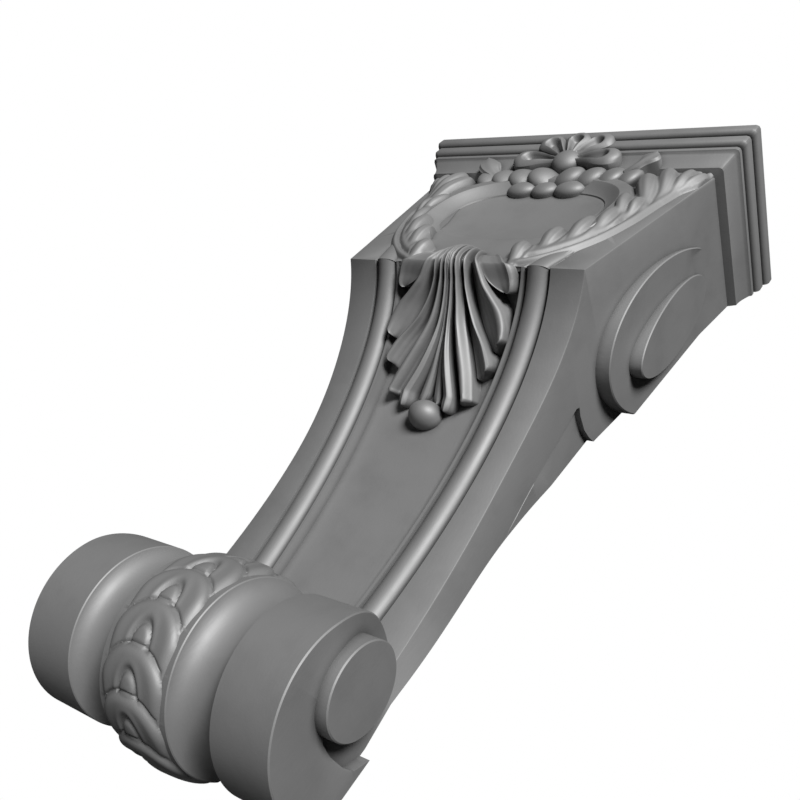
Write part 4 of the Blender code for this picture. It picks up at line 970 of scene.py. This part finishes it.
def painted_wood():
    """Satin mid-grey paint on carved wood: fine grain, soft mottling, painted shade darkening the hollows and rubbed
    edges.
    """
    material = bpy.data.materials.new("grey_paint")
    material.use_nodes = True
    tree = material.node_tree
    shader = tree.nodes["Principled BSDF"]
    shader.inputs["Specular IOR Level"].default_value = 1.0
    shader.inputs["IOR"].default_value = 1.6

    def node(kind, **values):
        made = tree.nodes.new(kind)
        for key, value in values.items():
            if hasattr(made, key):
                setattr(made, key, value)
            else:
                made.inputs[key.replace("_", " ")].default_value = value
        return made

    def link(source, target):
        tree.links.new(source, target)

    def scale(value, low, high, out_low, out_high):
        made = node("ShaderNodeMapRange", From_Min=low, From_Max=high, To_Min=out_low, To_Max=out_high)
        link(value, made.inputs["Value"])
        return made.outputs["Result"]

    place = node("ShaderNodeTexCoord").outputs["Object"]
    mottle = node("ShaderNodeTexNoise", Scale=35.0, Detail=4.0, Roughness=0.6)
    link(place, mottle.inputs["Vector"])
    stretch = node("ShaderNodeMapping")
    stretch.inputs["Scale"].default_value = (1.0, 1.0, 0.12)
    link(place, stretch.inputs["Vector"])
    grain = node("ShaderNodeTexNoise", Scale=900.0, Detail=3.0, Roughness=0.55)
    link(stretch.outputs["Vector"], grain.inputs["Vector"])
    speck = node("ShaderNodeTexNoise", Scale=1600.0, Detail=2.0, Roughness=0.6)
    link(place, speck.inputs["Vector"])

    # Painted shade: ambient occlusion in the hollows darkens the paint's colour
    hollow = node("ShaderNodeAmbientOcclusion", samples=8, Distance=0.0045)
    edge = node("ShaderNodeAmbientOcclusion", samples=8, inside=True, Distance=0.0012)

    mottle_and_shade = node("ShaderNodeMath", operation="MULTIPLY")
    link(scale(mottle.outputs["Fac"], 0.3, 0.7, 0.93, 1.07), mottle_and_shade.inputs[0])
    # Painted shade: the colour falls to a quarter of the paint's grey where the hollows are occluded
    link(scale(hollow.outputs["AO"], 0.30, 0.95, 0.25, 1.0), mottle_and_shade.inputs[1])
    # Lighter rubbed edges are added on top of the mottled colour with its painted shade
    wear_and_shade = node("ShaderNodeMath", operation="ADD")
    link(mottle_and_shade.outputs["Value"], wear_and_shade.inputs[0])
    link(scale(edge.outputs["AO"], 0.45, 0.9, 0.22, 0.0), wear_and_shade.inputs[1])
    colour = node("ShaderNodeMix", data_type="RGBA")
    colour.inputs["A"].default_value = (0.0, 0.0, 0.0, 1.0)
    colour.inputs["B"].default_value = (PAINT, PAINT, PAINT, 1.0)
    link(wear_and_shade.outputs["Value"], colour.inputs["Factor"])
    link(colour.outputs["Result"], shader.inputs["Base Color"])
    link(scale(mottle.outputs["Fac"], 0.3, 0.7, 0.57, 0.66), shader.inputs["Roughness"])

    height = node("ShaderNodeMath", operation="ADD")
    link(scale(grain.outputs["Fac"], 0.0, 1.0, 0.0, 0.6), height.inputs[0])
    link(scale(speck.outputs["Fac"], 0.0, 1.0, 0.0, 0.4), height.inputs[1])
    bump = node("ShaderNodeBump", Strength=0.35, Distance=0.00018)
    link(height.outputs["Value"], bump.inputs["Height"])
    link(bump.outputs["Normal"], shader.inputs["Normal"])
    return material


def build_bracket():
    """The whole body in four booleans: the notched roll, the block, what is cut away, and the carving."""
    sides = (-1.0, 1.0)
    bracket = roll_body()
    bracket.name = "bracket_carving"
    boolean(bracket, "DIFFERENCE", [roll_notch(side) for side in sides])
    boolean(bracket, "UNION", [core(), cap()])
    fronts = [petal(2 * math.pi * k / ROSETTE_PETALS, PETAL_CLEAR_DEPTH) for k in range(ROSETTE_SHOWN)]
    boolean(bracket, "DIFFERENCE", [web_cutter(side) for side in sides] + [oval_cutter()] + fronts)
    carving = [oval_frame()] + rosette() + calyx() + fan() + scales()
    for side in sides:
        carving += studs(side) + spray(side)
    boolean(bracket, "UNION", carving)
    finish_mesh(bracket)
    bracket.data.materials.clear()
    bracket.data.materials.append(painted_wood())
    return bracket


# The camera: the picture's right and down and the way it looks, in the part's frame, its place and its lens in mm
CAMERA_RIGHT = (0.7920680, 0.2646104, 0.5500997)
CAMERA_DOWN = (0.1244050, 0.8122773, -0.5698500)
CAMERA_FORWARD = (-0.5976217, 0.5197950, 0.6104600)
CAMERA_PLACE = (0.262322, -0.277679, -0.379923)
CAMERA_LENS = 42.796


def add_camera():
    """The photograph's viewpoint: below the bracket and to its right."""
    data = bpy.data.cameras.new("camera")
    data.sensor_width = 36.0
    data.lens = CAMERA_LENS
    camera = bpy.data.objects.new("camera", data)
    axes = zip(CAMERA_RIGHT, CAMERA_DOWN, CAMERA_FORWARD, CAMERA_PLACE)
    camera.matrix_world = Matrix([(right, -down, -forward, place) for right, down, forward, place in axes]
                                 + [(0, 0, 0, 1)])
    bpy.context.scene.collection.objects.link(camera)
    bpy.context.scene.camera = camera


FLOOR_HALF_SIZE = 1.5
FLOOR_Z = -1.2


def add_floor():
    """A pale floor well below the bracket, outside the photo's view."""
    mesh = bpy.data.meshes.new("floor")
    size = FLOOR_HALF_SIZE
    z = FLOOR_Z
    mesh.from_pydata([(-size, -size, z), (size, -size, z), (size, size, z), (-size, size, z)], [], [(0, 1, 2, 3)])
    floor = bpy.data.objects.new("floor", mesh)
    bpy.context.scene.collection.objects.link(floor)
    material = bpy.data.materials.new("pale_floor")
    material.use_nodes = True
    material.node_tree.nodes["Principled BSDF"].inputs["Base Color"].default_value = (0.8, 0.8, 0.8, 1.0)
    floor.data.materials.append(material)


# The one light: the direction it comes from, its strength and how wide it is in degrees; and the sky's own light
KEY_FROM = (0.600, -0.797, 0.070)
KEY_POWER = 6.2
KEY_WIDTH = 22.0
SKY = 0.012


def add_lights():
    """A white studio: the camera sees it white, and it lights the object softly."""
    world = bpy.data.worlds.new("studio")
    bpy.context.scene.world = world
    world.use_nodes = True
    tree = world.node_tree
    back = tree.nodes["Background"]
    seen = tree.nodes.new("ShaderNodeLightPath")
    strength = tree.nodes.new("ShaderNodeMapRange")
    strength.inputs["To Min"].default_value = SKY
    strength.inputs["To Max"].default_value = 1.0
    tree.links.new(seen.outputs["Is Camera Ray"], strength.inputs["Value"])
    back.inputs["Color"].default_value = (1.0, 1.0, 1.0, 1.0)
    tree.links.new(strength.outputs["Result"], back.inputs["Strength"])
    data = bpy.data.lights.new("key", "SUN")
    data.energy = KEY_POWER
    data.angle = math.radians(KEY_WIDTH)
    light = bpy.data.objects.new("key", data)
    light.rotation_euler = (-Vector(KEY_FROM)).to_track_quat("-Z", "Y").to_euler()
    bpy.context.scene.collection.objects.link(light)
    bpy.context.scene.view_settings.view_transform = "Standard"


bracket = build_bracket()
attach(bracket, "root")
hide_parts(NODE)
add_camera()
add_floor()
add_lights()
